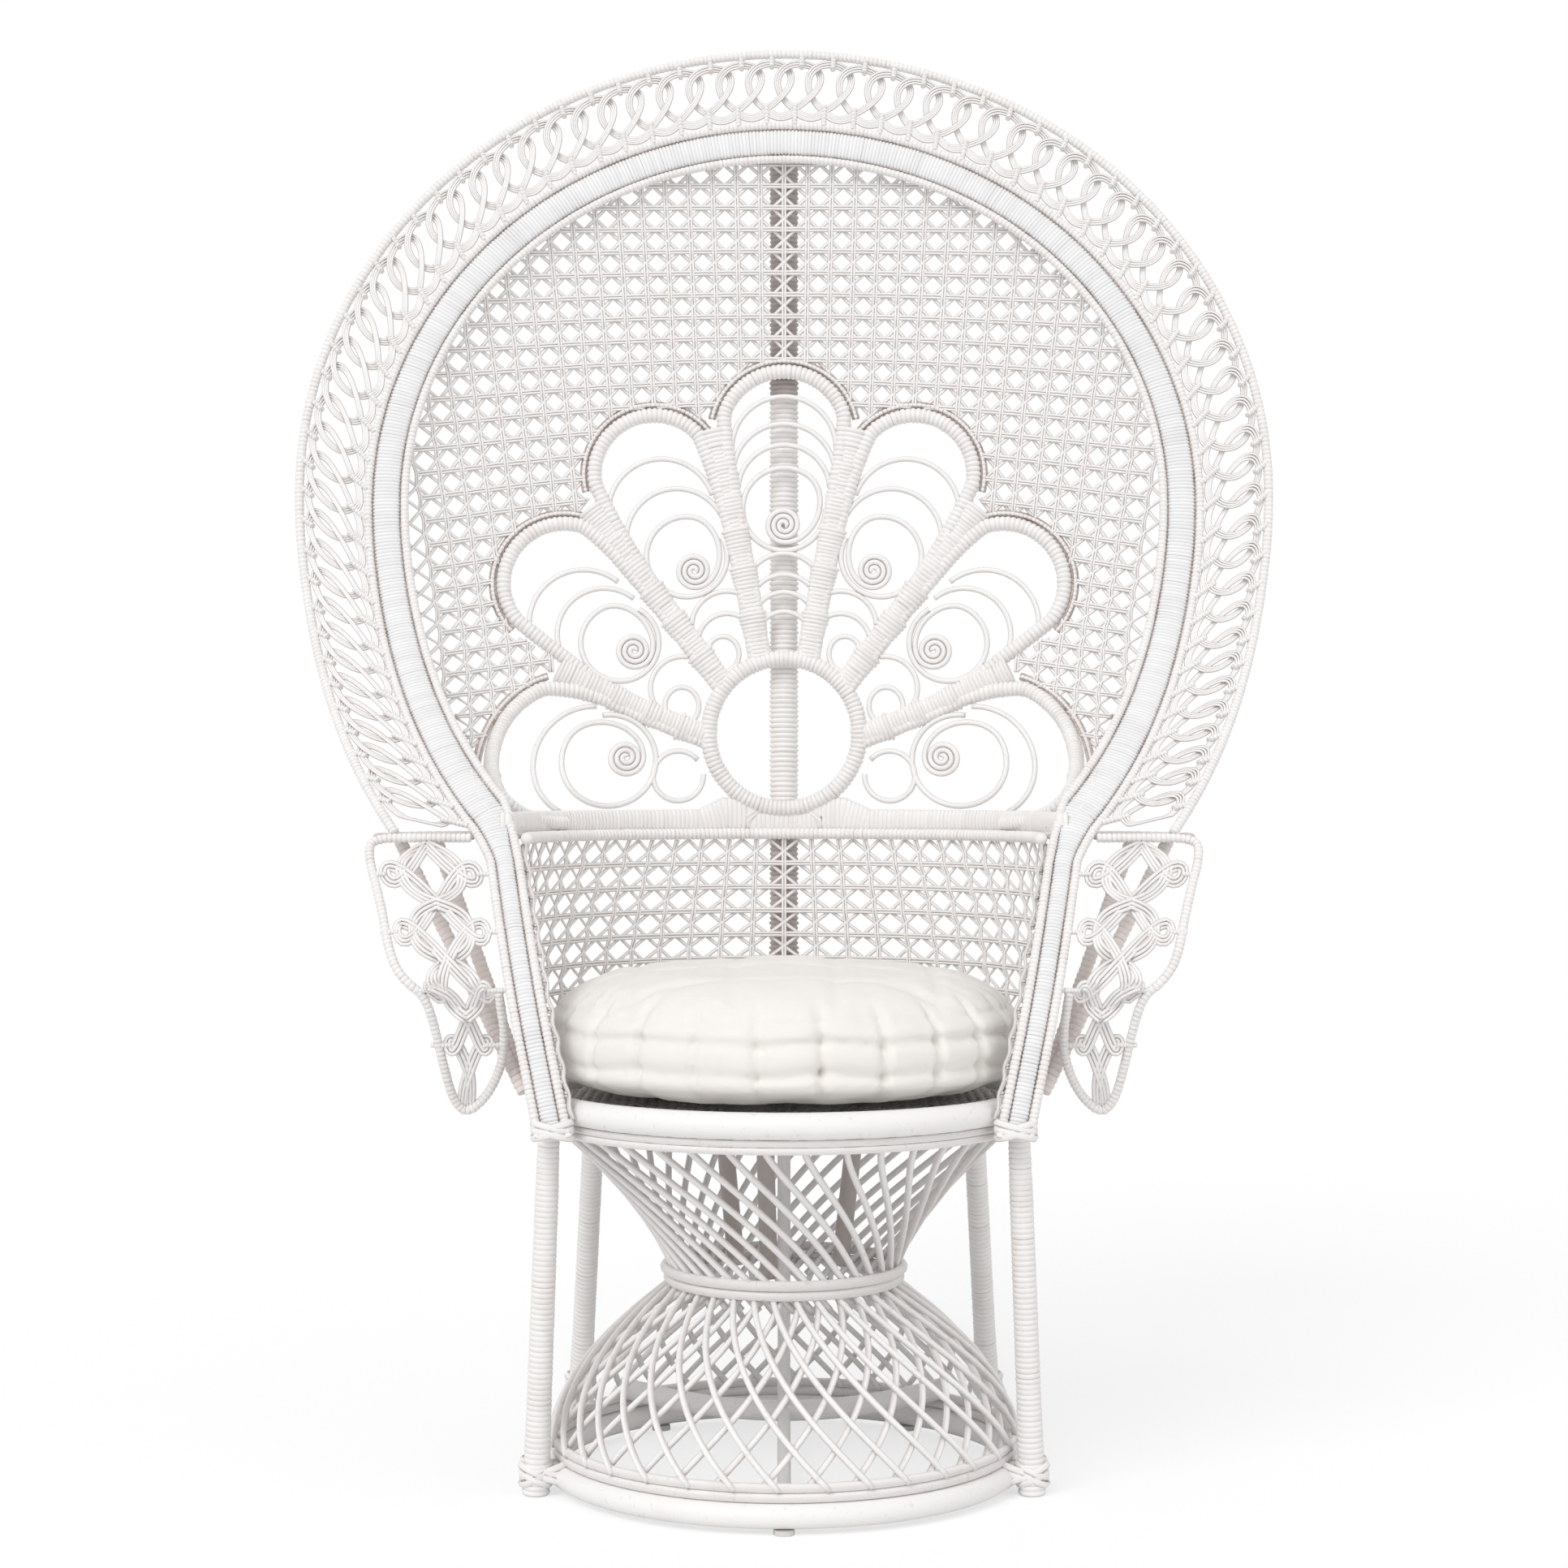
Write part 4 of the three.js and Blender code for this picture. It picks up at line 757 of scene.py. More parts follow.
linen = Finish("herringbone_linen", 0.9)
linen_cream = (0.925, 0.905, 0.87, 1)
linen_shade = (0.82, 0.785, 0.73, 1)
linen_run, linen_height = linen.run_and_round()
herring_step = 5 * mm
thread_step = 1.5 * mm
thread_depth = 0.35 * mm
above_zero = 4.0
zigzag = abs((linen_run + above_zero) / (2 * herring_step) % 1.0 - 0.5) * (2 * herring_step)
ribbing = ((linen_height + zigzag) * (2 * np.pi / thread_step)).of("SINE") * 0.5 + 0.5
linen_slub = linen.clouds(90.0, 4.0)
linen_colour = linen.blend(ribbing * 0.28 + linen_slub * 0.3, linen_cream, linen_shade)
linen_relief = linen.relief(ribbing + linen_slub * 0.8, thread_depth, 0.6)
linen.surface(Base_Color=linen_colour, Normal=linen_relief, Sheen_Weight=0.15, Specular_IOR_Level=0.2)
cushion.data.materials.append(linen.material)
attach(cushion, "root")
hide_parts("seat_cushion")

# Face band and its rolls
# A flat lath that frames the head and runs down both sides as the front posts, wound crosswise with fine
# cane; a wound roll is lashed along each of its edges.
band_half = 437 * mm
band_centre = 1025 * mm
band_rise = 407 * mm
band_drop = 487 * mm
band_end_angle = np.radians(48.5)
band_width = 31 * mm
band_wrap = 3.9 * mm
band_half_depth = 4.2 * mm
band_inset = 0.7 * mm
roll_radius = 4.4 * mm
roll_wrap = 4.8 * mm
touching_gap = 0.3 * mm
post_foot_height = 363 * mm
post_foot_half = 223 * mm
post_band_share = 0.62
post_run_share = 0.16
roll_offset = band_width / 2 + touching_gap + roll_radius
face_edge = roll_offset + roll_radius
seat_depth = -161 * mm
face_recline = 0.23
sweep_back = 220 * mm
sweep_start_height = 450 * mm
sweep_rise = 500 * mm


def eased(share):
    """A share that starts and stops gently: its square times three less twice itself."""
    return share ** 2 * (3 - 2 * share)


def face_depth(height):
    """How far back the face lies at a height: a steady recline, and a smooth sweep back above the seat."""
    share = np.clip((height - sweep_start_height) / sweep_rise, 0, 1)
    return seat_depth + face_recline * (height - post_foot_height) + sweep_back * eased(share)


def on_face(x, z):
    """Places of the front view laid on the face."""
    return np.stack([x, face_depth(z), z], -1)


def head_place(angle, half, centre, rise, drop):
    """Oval round the head: half an ellipse above its centre height and a longer one below."""
    reach = np.where(np.sin(angle) > 0, rise, drop)
    return -half * np.cos(angle), centre + reach * np.sin(angle)


def band_place(angle, offset):
    """The band's oval at an offset outwards from its middle."""
    return head_place(angle, band_half + offset, band_centre, band_rise + offset, band_drop + offset)


band_end = band_place(np.array(-band_end_angle), 0)
post_top = band_end[1] - band_width


def post_centre(height):
    """Middle of the left front post at a height, on the straight line from its foot to the band's end."""
    share = (height - post_foot_height) / (band_end[1] - post_foot_height)
    return -post_foot_half + (band_end[0] + post_foot_half) * share


def post_offset(offset):
    """Offsets across the post: the lath narrows there and the rolls keep their size."""
    inner = np.clip(offset, -band_width / 2, band_width / 2)
    return inner * post_band_share + offset - inner


def face_place(t, offset):
    """Places at shares of the run from the left foot over the head to the right foot."""
    t = np.asarray(t, float)
    mirror = np.where(t > 0.5, -1, 1)
    run = np.where(t > 0.5, 1 - t, t)
    height = post_foot_height + (post_top - post_foot_height) * run / post_run_share
    share = (run - post_run_share) / (0.5 - post_run_share)
    x, z = band_place(-band_end_angle + (np.pi / 2 + band_end_angle) * share, offset)
    on_post = run < post_run_share
    post_x = post_centre(height) - post_offset(offset)
    return mirror * np.where(on_post, post_x, x), np.where(on_post, height, z)


def smoothed(route, rounds=3):
    """Corners cut off a line of points: each round puts two points on every stretch, at a quarter and three
    quarters of it, and the line keeps its ends."""
    for _ in range(rounds):
        before, after = route[:-1], route[1:]
        cut = np.stack([before * 0.75 + after * 0.25, before * 0.25 + after * 0.75], 1)
        route = np.concatenate([route[:1], cut.reshape(-1, route.shape[1]), route[-1:]])
    return route


def face_route(offset, stations=220):
    """A line along the face at an offset from the band's middle, with its bend at the arms eased."""
    return smoothed(on_face(*face_place(np.linspace(0, 1, stations), offset)), 2)


band_white = (0.865, 0.862, 0.868, 1)
band_groove = (0.34, 0.32, 0.32, 1)
band_worn = (0.70, 0.695, 0.70, 1)
band_paint = wound_paint("wound_band", white=band_white, groove=band_groove, groove_share=1.0,
                         wear_share=0.2, worn=band_worn)
roll_paint = wound_paint("wound_roll", groove_share=0.7)
band_edges = [face_route(offset) for offset in (-band_width / 2, band_width / 2)]
band_middle = (band_edges[0] + band_edges[1]) / 2
band_half_width = np.linalg.norm(band_edges[1] - band_edges[0], axis=1) / 2 - band_inset
band_facing = np.cross(np.gradient(band_middle, axis=0), band_edges[0] - band_edges[1])
band_facing = unit(band_facing) * np.sign(band_facing[:, 1:2])
band_wound = wound(band_middle, band_facing, band_half_width, band_wrap, band_half_depth, sides=12, rise=0.1)
piece("face_band_wound", [band_wound], band_paint, ["face_band"])
for node, side in (("face_roll_inner", -1), ("face_roll_outer", 1)):
    route = face_route(side * roll_offset)
    piece(node + "_wound", [wound(route, backward, roll_radius * 1.04, roll_wrap, sides=10, seed=5 + side)],
          roll_paint, [node])

# A dark bare-cane brown for the grooves of the fan's edge bindings, also the colour of the painted shade
# strips.
bare_brown_and_shade = (0.26, 0.18, 0.15, 1)
shade_strip_tan = (0.60, 0.52, 0.48, 1)
# Painted shade: thin tan and brown wound strips lie just behind both edges of the band and show through the
# narrow gaps as the dark lines between the band and its rolls.
shade_strip_paint = wound_paint("painted_shade_strip", white=shade_strip_tan, groove=bare_brown_and_shade, groove_share=1.0,
                            worn=bare_brown_and_shade, wear_share=0.8)
shade_strip_behind = backward * 2.2 * mm
shade_strip_half_width = 2 * mm
shade_strip_half_depth = 1.2 * mm
shade_strip_wrap = 9 * mm
shade_strip_parts = [wound(face_route(side * band_width / 2) + shade_strip_behind, backward, shade_strip_half_width,
                       shade_strip_wrap, shade_strip_half_depth, sides=6, seed=14 + side) for side in (-1, 1)]
piece("face_band_shade_strips", shade_strip_parts, shade_strip_paint, ())

# Joints of the front posts with the seat
# Each front post ends over the top of a leg, where flat strips bind the two and the seat ring together.
joint_parts = []
joint_height = 370 * mm
joint_depth = face_depth(joint_height) + 7 * mm
joint_radii = (20 * mm, 15 * mm)
joint_lean = 5 * mm
joint_spacing = 7 * mm
for hand in (-1, 1):
    joint = np.array([-hand * post_centre(joint_height), joint_depth, joint_height])
    joint_parts += binding(joint, joint_radii, joint_lean, joint_spacing)
piece("seat_joint_bindings", joint_parts, roll_paint, ())

# Rim hoop
# A wound cane round the whole head, standing on the arms at both ends.
hoop_half = 533 * mm
hoop_centre = 1043 * mm
hoop_rise = 495 * mm
hoop_drop = 580 * mm
hoop_radius = 5.2 * mm
hoop_wrap = 5 * mm
arm_height = 655 * mm
hoop_end_angle = np.arcsin((hoop_centre - arm_height) / hoop_drop)


def hoop_place(t, offset):
    """Places at shares of the hoop's run from its left end to its right end."""
    angle = -hoop_end_angle + (np.pi + 2 * hoop_end_angle) * t
    return head_place(angle, hoop_half + offset, hoop_centre, hoop_rise + offset, hoop_drop + offset)


hoop_route = on_face(*hoop_place(np.linspace(0, 1, 260), 0))
piece("rim_hoop_wound", [wound(hoop_route, backward, hoop_radius, hoop_wrap, sides=10, seed=9)],
      roll_paint, ["rim_hoop"])

# Rim lace
# Seventy-odd rings of three thin canes, each linked through the next, tied to the hoop above and to the
# outer roll below; short hanging curves run along the roll from tie to tie.
lace_pitch = 34 * mm
lace_strand = 1.6 * mm
lace_spacing = 3.05 * mm
lace_half_width = 29 * mm
lace_weave = 3.0 * mm
lace_lean = 3.5 * mm
lace_low_share = 0.21
lace_high_share = 0.93
lace_paint = painted("painted_lace_cane", flank_shade_share=0.8, wear_share=0.25)


def lace_point(t, rise):
    """Places at shares of the rim's run and at shares of the way out from the outer roll to the hoop."""
    angle = -band_end_angle + (np.pi + 2 * band_end_angle) * t
    inner = np.stack(band_place(angle, face_edge), -1)
    outer = np.stack(hoop_place(t, -hoop_radius), -1)
    place = inner + (outer - inner) * np.asarray(rise)[..., None]
    return on_face(place[..., 0], place[..., 1])


lace_table = np.linspace(0.008, 0.992, 600)
lace_mid_route = lace_point(lace_table, np.full(600, 0.5))
lace_runs = np.concatenate([[0], np.cumsum(np.linalg.norm(np.diff(lace_mid_route, axis=0), axis=1))])
lace_count = round(lace_runs[-1] / lace_pitch)
lace_step = lace_runs[-1] / lace_count


def lace_share(run):
    """Share of the rim's run at a length along the lace's middle."""
    return np.interp(run, lace_runs, lace_table)


face_normal = np.array([0.0, -1.0, 0.0])
lace_middles = (np.arange(lace_count) + 0.5) * lace_step
lace_width = np.linalg.norm(lace_point(lace_share(lace_middles), np.ones(lace_count))
                            - lace_point(lace_share(lace_middles), np.zeros(lace_count)), axis=1)
lace_turn = 2 * np.pi * np.arange(44) / 44
lace_rng = np.random.default_rng(4)
lace_stray = lace_rng.uniform(-0.04, 0.04, (lace_count, 3))
lace_middle_share = (lace_low_share + lace_high_share) / 2
lace_parts = []
for strand in (-1, 0, 1):
    half = lace_half_width + 0.9 * strand * lace_spacing
    taper = ((1 + np.cos(lace_turn)) / 2) ** 0.33
    share_high = (lace_high_share - lace_low_share) / 2 * (1 + lace_stray[:, 1:2])
    rise = lace_middle_share + (share_high + strand * lace_spacing / lace_width[:, None]) * np.cos(lace_turn)
    run = (lace_middles[:, None] + lace_stray[:, :1] * lace_pitch + half * np.sin(lace_turn) * taper
           + lace_lean * np.cos(lace_turn))
    route = lace_point(lace_share(run), rise)
    route = route + face_normal * (-lace_weave * np.sin(2 * lace_turn))[None, :, None]
    lace_parts.append(sweep(route, backward, lace_strand, sides=6, closed=True))

swag = np.linspace(0, 1, 14)
swag_heights = np.array([17.5, 14.5, 11.5, 8.5]) * mm
swag_sags = np.array([8.5, 7.7, 6.9, 6.1]) * mm
swag_lift = 1.2 * mm
for height, sag in zip(swag_heights, swag_sags):
    run = lace_middles[:-1, None] - lace_lean + lace_step * (0.02 + 0.96 * swag)
    width = (lace_width[:-1, None] + lace_width[1:, None]) / 2
    hung = height - sag * np.sin(np.pi * swag) ** 0.8
    route = lace_point(lace_share(run), hung / width) + face_normal * swag_lift
    lace_parts.append(sweep(route, backward, lace_strand, sides=6))
piece("rim_lace_rings", lace_parts, lace_paint, ["rim_lace"])

tie_parts = []
tie_half_width = 3.3 * mm
tie_half_depth = 6.4 * mm
tie_wrap = 4.2 * mm
for number, middle in enumerate(lace_middles):
    for low, high, lean in ((-0.06, 0.27, -lace_lean), (0.86, 1.06, lace_lean)):
        share = lace_share(np.full(5, middle + lean + lace_stray[number, 0] * lace_pitch))
        route = lace_point(share, np.linspace(low, high, 5))
        tie_parts.append(wound(route, backward, tie_half_width, tie_wrap, tie_half_depth,
                               sides=8, seed=number + 11))
tie_paint = wound_paint("wound_tie", groove_share=0.5)
piece("rim_lace_ties", tie_parts, tie_paint, ())

# Lower wall
# A round wall of six-way cane weave from the seat to the fan rail, from one front post round the back to
# the other: level pairs, uprights, and two slants that cross between them and leave diamond holes.
wall_foot_radius = 257.4 * mm
wall_flare = 0.127
wall_gap = 3.2 * mm
rear_lean = 0.03


def wall_radius(height):
    """Radius of the wall at a height, opening steadily from the seat."""
    return wall_foot_radius + wall_flare * (height - seat_height)


def rear_depth(height):
    """How far back the hollow of the back lies at a height above the arms."""
    return wall_radius(arm_height) + rear_lean * (height - arm_height)


def wall_arc(height):
    """Radius, depth of the middle and depth of the ends of the wall's arc at a height. The arc runs from the
    left post to the right one through the wall's radius at the rear."""
    rear = wall_radius(height)
    front = face_depth(height)
    side = -post_centre(height) - post_offset(face_edge) - wall_gap
    back = (rear ** 2 - side ** 2 - front ** 2) / (2 * (rear - front))
    return rear - back, back, front


def wall_point(share, height, inset=0.0):
    """Places at shares of the way round the wall's arc at a height."""
    radius, back, front = wall_arc(height)
    end = np.arcsin((front - back) / radius)
    angle = np.pi - end + (2 * end - np.pi) * share
    reach = radius - inset
    return np.stack([reach * np.cos(angle), back + reach * np.sin(angle), height + 0 * angle], -1)


row_strand = (1.6 * mm, 1.6 * mm)
upright_strand = (1.45 * mm, 1.3 * mm)
slant_strand = (2.0 * mm, 1.1 * mm)
row_lift = 1.3 * mm
row_wave = 0.5 * mm
upright_lift = 0.8 * mm
upright_wave = 1.3 * mm
slant_lifts = (-0.6 * mm, -1.7 * mm)
slant_wave = 0.4 * mm
pair_half = 1.5 * mm
weave_paint = painted("painted_weave", flank_shade_share=0.55, wear_share=0.25)


def woven(surface, inside, columns, rows, samples=6):
    """Strands of the six-way weave on a surface given by column and row numbers. Level and upright strands
    lie in pairs on whole numbers, slants cross on the uprights half way between rows. Each strand is walked
    in fine steps, kept where it is inside, and laid above or below its crossings by a cosine of its way."""
    parts = {"rows": [], "uprights": [], "slants": []}

    def strand(kind, i, j, offset, lift, size):
        keep = inside(i, j)
        edges = np.flatnonzero(np.diff(np.concatenate([[0], keep.astype(int), [0]])))
        for start, stop in zip(edges[::2], edges[1::2]):
            if stop - start < 2 * samples:
                continue
            picked = np.unique(np.concatenate([np.arange(start, stop, 4), [stop - 1]]))
            place = surface(i[picked], j[picked])
            ahead = unit(np.gradient(place, axis=0))
            step = 0.02
            across_i = surface(i[picked] + step, j[picked]) - surface(i[picked] - step, j[picked])
            across_j = surface(i[picked], j[picked] + step) - surface(i[picked], j[picked] - step)
            normal = unit(np.cross(across_i, across_j))
            aside = np.cross(ahead, normal)
            place = place + normal * lift[picked][:, None] + aside * offset
            parts[kind].append(sweep(place, normal, *size, sides=6))

    fine = 4 * samples
    spread = np.arange(-columns * fine, columns * fine + 1) / fine
    climb = np.arange(0, rows * fine + 1) / fine
    for row in range(1, rows):
        lift = row_lift - row_wave * np.cos(2 * np.pi * spread)
        for pair in (-1, 1):
            strand("rows", spread, np.full_like(spread, row), pair * pair_half, lift, row_strand)
    for column in range(-columns, columns + 1):
        lift = upright_lift + upright_wave * np.cos(2 * np.pi * climb)
        for pair in (-1, 1):
            strand("uprights", np.full_like(climb, column), climb, pair * pair_half, lift, upright_strand)
    for start in range(-columns - rows, columns + 1):
        for lean, slant_lift in zip((1, -1), slant_lifts):
            i = lean * (start + climb + 0.5)
            lift = slant_wave * np.cos(2 * np.pi * i) + slant_lift
            strand("slants", i, climb, 0.0, lift, slant_strand)
    return parts


wall_rows = 10
wall_low, wall_high = box_heights("lower_back_net")
wall_columns = 15
wall_pitch = (wall_high - wall_low) / wall_rows


def wall_weave(i, j):
    """Columns spread evenly round the wall, and rows evenly up it."""
    return wall_point(0.5 + i / (2 * wall_columns), wall_low + wall_pitch * j)


def wall_inside(i, j):
    """From post to post, and just above the seat ring."""
    return (abs(i) <= wall_columns + 0.001) & (j >= 0.1)


wall_parts = woven(wall_weave, wall_inside, wall_columns, wall_rows)
piece("lower_wall_weave", sum(wall_parts.values(), []), weave_paint, ["lower_back_net"])

# Fan rail
# A wound cane along the top of the wall that the fan stands on.
fan_rail_radius = 6 * mm
fan_rail_inset = 4 * mm
fan_wrap = 5.2 * mm
fan_rail_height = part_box("fan_rail")[1].z - fan_rail_radius
rail_route = wall_point(np.linspace(0, 1, 120), np.full(120, fan_rail_height), fan_rail_inset)
piece("fan_rail_wound", [wound(rail_route, upright, fan_rail_radius * 1.05, fan_wrap, sides=12, seed=21)],
      roll_paint, ["fan_rail"])

# Hub ring of the fan
# A stout ring of cane, wound all round, that every rib of the fan is bound to.
hub_height = 762 * mm
hub_radius = 80 * mm
hub_outset = 5 * mm
hub_cane_radius = 9.6 * mm
fan_reach = 339 * mm


def dish(x, z):
    """The hollow of the back over places of the front view: at each height the depth goes from the face at
    the band to the rear in the middle, as a quarter of an ellipse."""
    reach = np.where(z > band_centre, band_rise, band_drop)
    half = band_half * np.sqrt(np.maximum(1e-4, 1 - ((z - band_centre) / reach) ** 2))
    out = np.clip(abs(x) / half, 0, 1)
    out = out * (1 + 0.065 * out ** 6)
    share = np.sqrt(np.maximum(0, 1 - out ** 2))
    front = face_depth(z)
    return np.stack([x, front + np.maximum(0, rear_depth(z) - front) * share, z], -1)


def fan_place(reach, degrees):
    """Places of the front view at a reach from the hub and an angle from upright, left of it if positive."""
    angle = np.radians(degrees)
    return np.stack([-reach * np.sin(angle), hub_height + reach * np.cos(angle)], -1)


def bow(centre, radius, angle):
    """Places of the front view on a circle, at angles from upright, left of it if positive."""
    return centre + radius * np.stack([-np.sin(angle), np.cos(angle)], -1)


def on_dish(places):
    """Places of the front view laid in the hollow of the back."""
    return dish(places[..., 0], places[..., 1])


fan_paint = wound_paint("wound_fan", groove_share=0.8, wear_share=0.3)
hub_route = on_dish(fan_place(hub_radius + hub_outset, np.linspace(0, 360, 121)))
hub_wound = wound(hub_route, backward, hub_cane_radius, fan_wrap, sides=12, closed=True, seed=22)
piece("fan_hub_wound", [hub_wound], fan_paint, ["fan_hub"])

# Feathers
# Seven wound canes, each bent up one rib, round its lobe and down the next rib to the hub. Neighbours share
# a rib, where fine cane winds crosswise over both and is heaped up wherever a thin arch is bound in.
lobe_angles = np.array([0, 26.6, 55.6, 95.4])
lobe_reaches = fan_reach * np.array([1, 0.965, 0.88, 0.702])
lobe_radii = fan_reach * np.array([0.212, 0.2, 0.2, 0.23])
cusp_places = [(1.07, 13.1), (1.015, 40.7), (0.79, 74.2)]
middle_places = [(0.56, 13.6), (0.56, 43.6), (0.473, 81.3)]
hub_angles = [18.8, 53, 95.4]
feather_radius = 6.5 * mm
feather_wrap = 5.6 * mm
rib_offset = 7.1 * mm
lobe_spread = np.radians(75)
feather_names = ["top", "upper", "middle", "lower"]


def rib_stations(k):
    """Where a rib starts at the hub, where it bends, and where it ends at the cusp between two lobes."""
    return np.array([fan_place(hub_radius, hub_angles[k]),
                     fan_place(fan_reach * middle_places[k][0], middle_places[k][1]),
                     fan_place(fan_reach * cusp_places[k][0], cusp_places[k][1])])


def rib_places(k, offset):
    """A rib from the hub to the cusp, moved aside by the offset."""
    hub, middle, cusp = rib_stations(k)
    line =np.array([hub, middle, middle + 0.55 * (cusp - middle)])
    along = unit(np.array([middle - hub, cusp - hub, cusp - middle]))
    return line + offset * np.stack([-along[:, 1], along[:, 0]], -1)


def feather_places(k):
    """The feather's line in the front view: out along one rib, round the lobe, back along the next rib."""
    centre = fan_place(lobe_reaches[k], lobe_angles[k])
    tilt = np.radians(lobe_angles[k])
    start = np.pi if k == 3 else tilt + lobe_spread
    arc = bow(centre, lobe_radii[k], np.linspace(start, tilt - lobe_spread, 18))
    outside = np.zeros((0, 2)) if k == 3 else rib_places(k, -rib_offset)
    inside = rib_places(k - 1, rib_offset) if k else outside * [-1, 1]
    return np.concatenate([outside, arc, inside[::-1]])


def feather_line(k):
    """The feather's line with its corners eased, at even steps."""
    return evenly(smoothed(feather_places(k)), np.linspace(0, 1, 120))


def sides_of(k):
    """The feather's copies: one in the middle, or one on each side."""
    return [("", 1)] if k == 0 else [("_left", 1), ("_right", -1)]


for k, word in enumerate(feather_names):
    for hand, side in sides_of(k):
        line = feather_line(k) * [side, 1]
        share = np.linspace(0, 1, 120)
        lobe_run = np.minimum(share - 0.2, 0.8 - share) if k < 3 else 0.72 - share
        on_lobe = np.clip(lobe_run / 0.08, 0, 1)
        width = feather_radius * (1 + 0.33 * on_lobe)
        wrapped = wound(on_dish(line), backward, width, feather_wrap, sides=12, seed=30 + 3 * k + side)
        piece(f"feather_{word}{hand}_wound", [wrapped], fan_paint, [f"feather_{word}{hand}"])

rib_half_width = 13.4 * mm
rib_half_depth = 7.8 * mm
rib_wrap = 4.4 * mm
bundle_shares = [
    [0.16, 0.36, 0.52, 0.66, 0.8, 0.97],
    [0.14, 0.34, 0.5, 0.64, 0.78, 0.96],
    [0.16, 0.38, 0.6, 0.78, 0.96],
]
bundle_reach_share = 0.05
bundle_widths = np.linspace(14.0, 16.8, 6) * mm
bundle_depths = np.linspace(8.4, 10.4, 6) * mm
bundle_wrap = 4.8 * mm
rib_parts = []
for k in range(3):
    for side in (1, -1):
        line = evenly(smoothed(rib_stations(k)) * [side, 1], np.linspace(0.02, 0.97, 60))
        route = on_dish(line)
        rib_parts.append(wound(route, backward, rib_half_width, rib_wrap, rib_half_depth,
                               sides=14, rise=0.1, seed=50 + k))
        for number, share in enumerate(bundle_shares[k]):
            ends = np.clip([share - bundle_reach_share, share + bundle_reach_share], 0, 1)
            short = evenly(route, np.linspace(*ends, 6))
            rib_parts.append(wound(short, backward, bundle_widths, bundle_wrap, bundle_depths,
                                   sides=14, rise=0.12, seed=60 + number))
rib_paint = wound_paint("wound_rib", groove_share=0.7, wear_share=0.35)
piece("fan_rib_wraps", rib_parts, rib_paint, ())

edge_reach = 11.6 * mm
edge_lift = 3 * mm
edge_radius = 2 * mm
edge_wrap = 5 * mm
edge_spread = np.radians(78)
last_edge_spread = np.radians(60)
shade_reaches = (9.4 * mm, 13.8 * mm)
shade_drop = 1 * mm
shade_radius = 2.2 * mm
shade_wrap = 7 * mm
edge_parts = []
shade_parts = []
for k in range(4):
    for _, side in sides_of(k):
        centre = fan_place(lobe_reaches[k], lobe_angles[k])
        tilt = np.radians(lobe_angles[k])
        start = tilt + (edge_spread if k < 3 else last_edge_spread)
        angle = np.linspace(start, tilt - edge_spread, 60)
        route = on_dish(bow(centre, lobe_radii[k] + edge_reach, angle) * [side, 1]) + face_normal * edge_lift
        edge_parts.append(wound(route, backward, edge_radius, edge_wrap, sides=6, seed=70 + k))
        # Painted shade: brown wound strips set a little behind each edge binding, one on each side of it,
        # stand for the dark shade lines between the binding, the lobe and the weave.
        for reach in shade_reaches:
            route = on_dish(bow(centre, lobe_radii[k] + reach, angle) * [side, 1]) - face_normal * shade_drop
            shade_parts.append(wound(route, backward, shade_radius, shade_wrap, sides=6, seed=80 + k))
edge_paint = wound_paint("wound_edge", groove=bare_brown_and_shade, groove_share=0.95, wear_share=0.4)
piece("fan_edge_bindings", edge_parts, edge_paint, ())
piece("fan_edge_shade_strips", shade_parts, shade_strip_paint, ())

# Curls and arches
# In each feather a smooth cane winds out from a scroll into a round loop, and thin smooth canes arch from
# rib to rib, above the loop and again between it and the hub.
curl_angles = [0, 28.8, 61.1, 98.9]
curl_reaches = fan_reach * np.array([0.75, 0.673, 0.622, 0.581])
loop_radii = [47 * mm, 45.5 * mm, 43.5 * mm, 51 * mm]
curl_radius = 3.15 * mm
scroll_start_radius = 1.6 * mm
scroll_pitch = 6.2 * mm
scroll_turns = 2.9
scroll_drop = 18 * mm
opening_turns = 0.4
loop_turns = 1.25
curl_paint = painted("painted_curl", flank_shade_share=0.35, wear_share=0.2)


def curl_line(k):
    """A loop that winds in to a scroll: the radius first grows steadily with the turns, then swings out to
    the loop's, while the centre moves from the scroll's heart to the loop's."""
    centre = fan_place(curl_reaches[k], curl_angles[k])
    heart = fan_place(curl_reaches[k] - scroll_drop, curl_angles[k])
    towards_hub = np.radians(curl_angles[k] - 90)
    turns = np.linspace(0, scroll_turns + loop_turns, 190)
    opening = eased(np.clip((turns - scroll_turns) / opening_turns, 0, 1))
    scroll = scroll_start_radius + scroll_pitch * np.minimum(turns, scroll_turns + opening_turns)
    radius = scroll + (loop_radii[k] - scroll) * opening
    middle = heart + (centre - heart) * opening[:, None]
    angle = towards_hub + 2 * np.pi * (turns - scroll_turns)
    return middle + radius[:, None] * np.stack([np.cos(angle), np.sin(angle)], -1)


for k, word in enumerate(feather_names):
    for hand, side in sides_of(k):
        coil = sweep(on_dish(curl_line(k) * [side, 1]), backward, curl_radius, sides=8)
        piece(f"curl_{word}{hand}_cane", [coil], curl_paint, [f"curl_{word}{hand}"])

arch_sizes = [
    [(73, 52), (97, 58), (128, 59)],
    [(80, 57), (118, 60)],
    [(72, 52), (106, 60)],
    [(80, 63), (112, 66)],
]
inner_arches = [
    [(204, 0, 44), (180, 0, 40), (160, 0, 36), (138, 0, 31)],
    [(177, 28, 40), (154, 32, 33)],
    [(161, 66, 36)],
    [(156, 112, 28)],
]
hub_rings = [(1, 113, 37.5, 18), (2, 119, 75, 19)]
hub_ring_stretch = 1.12
outer_half_turn = 100
inner_half_turn = 162
arch_cane_radius = curl_radius * 0.95


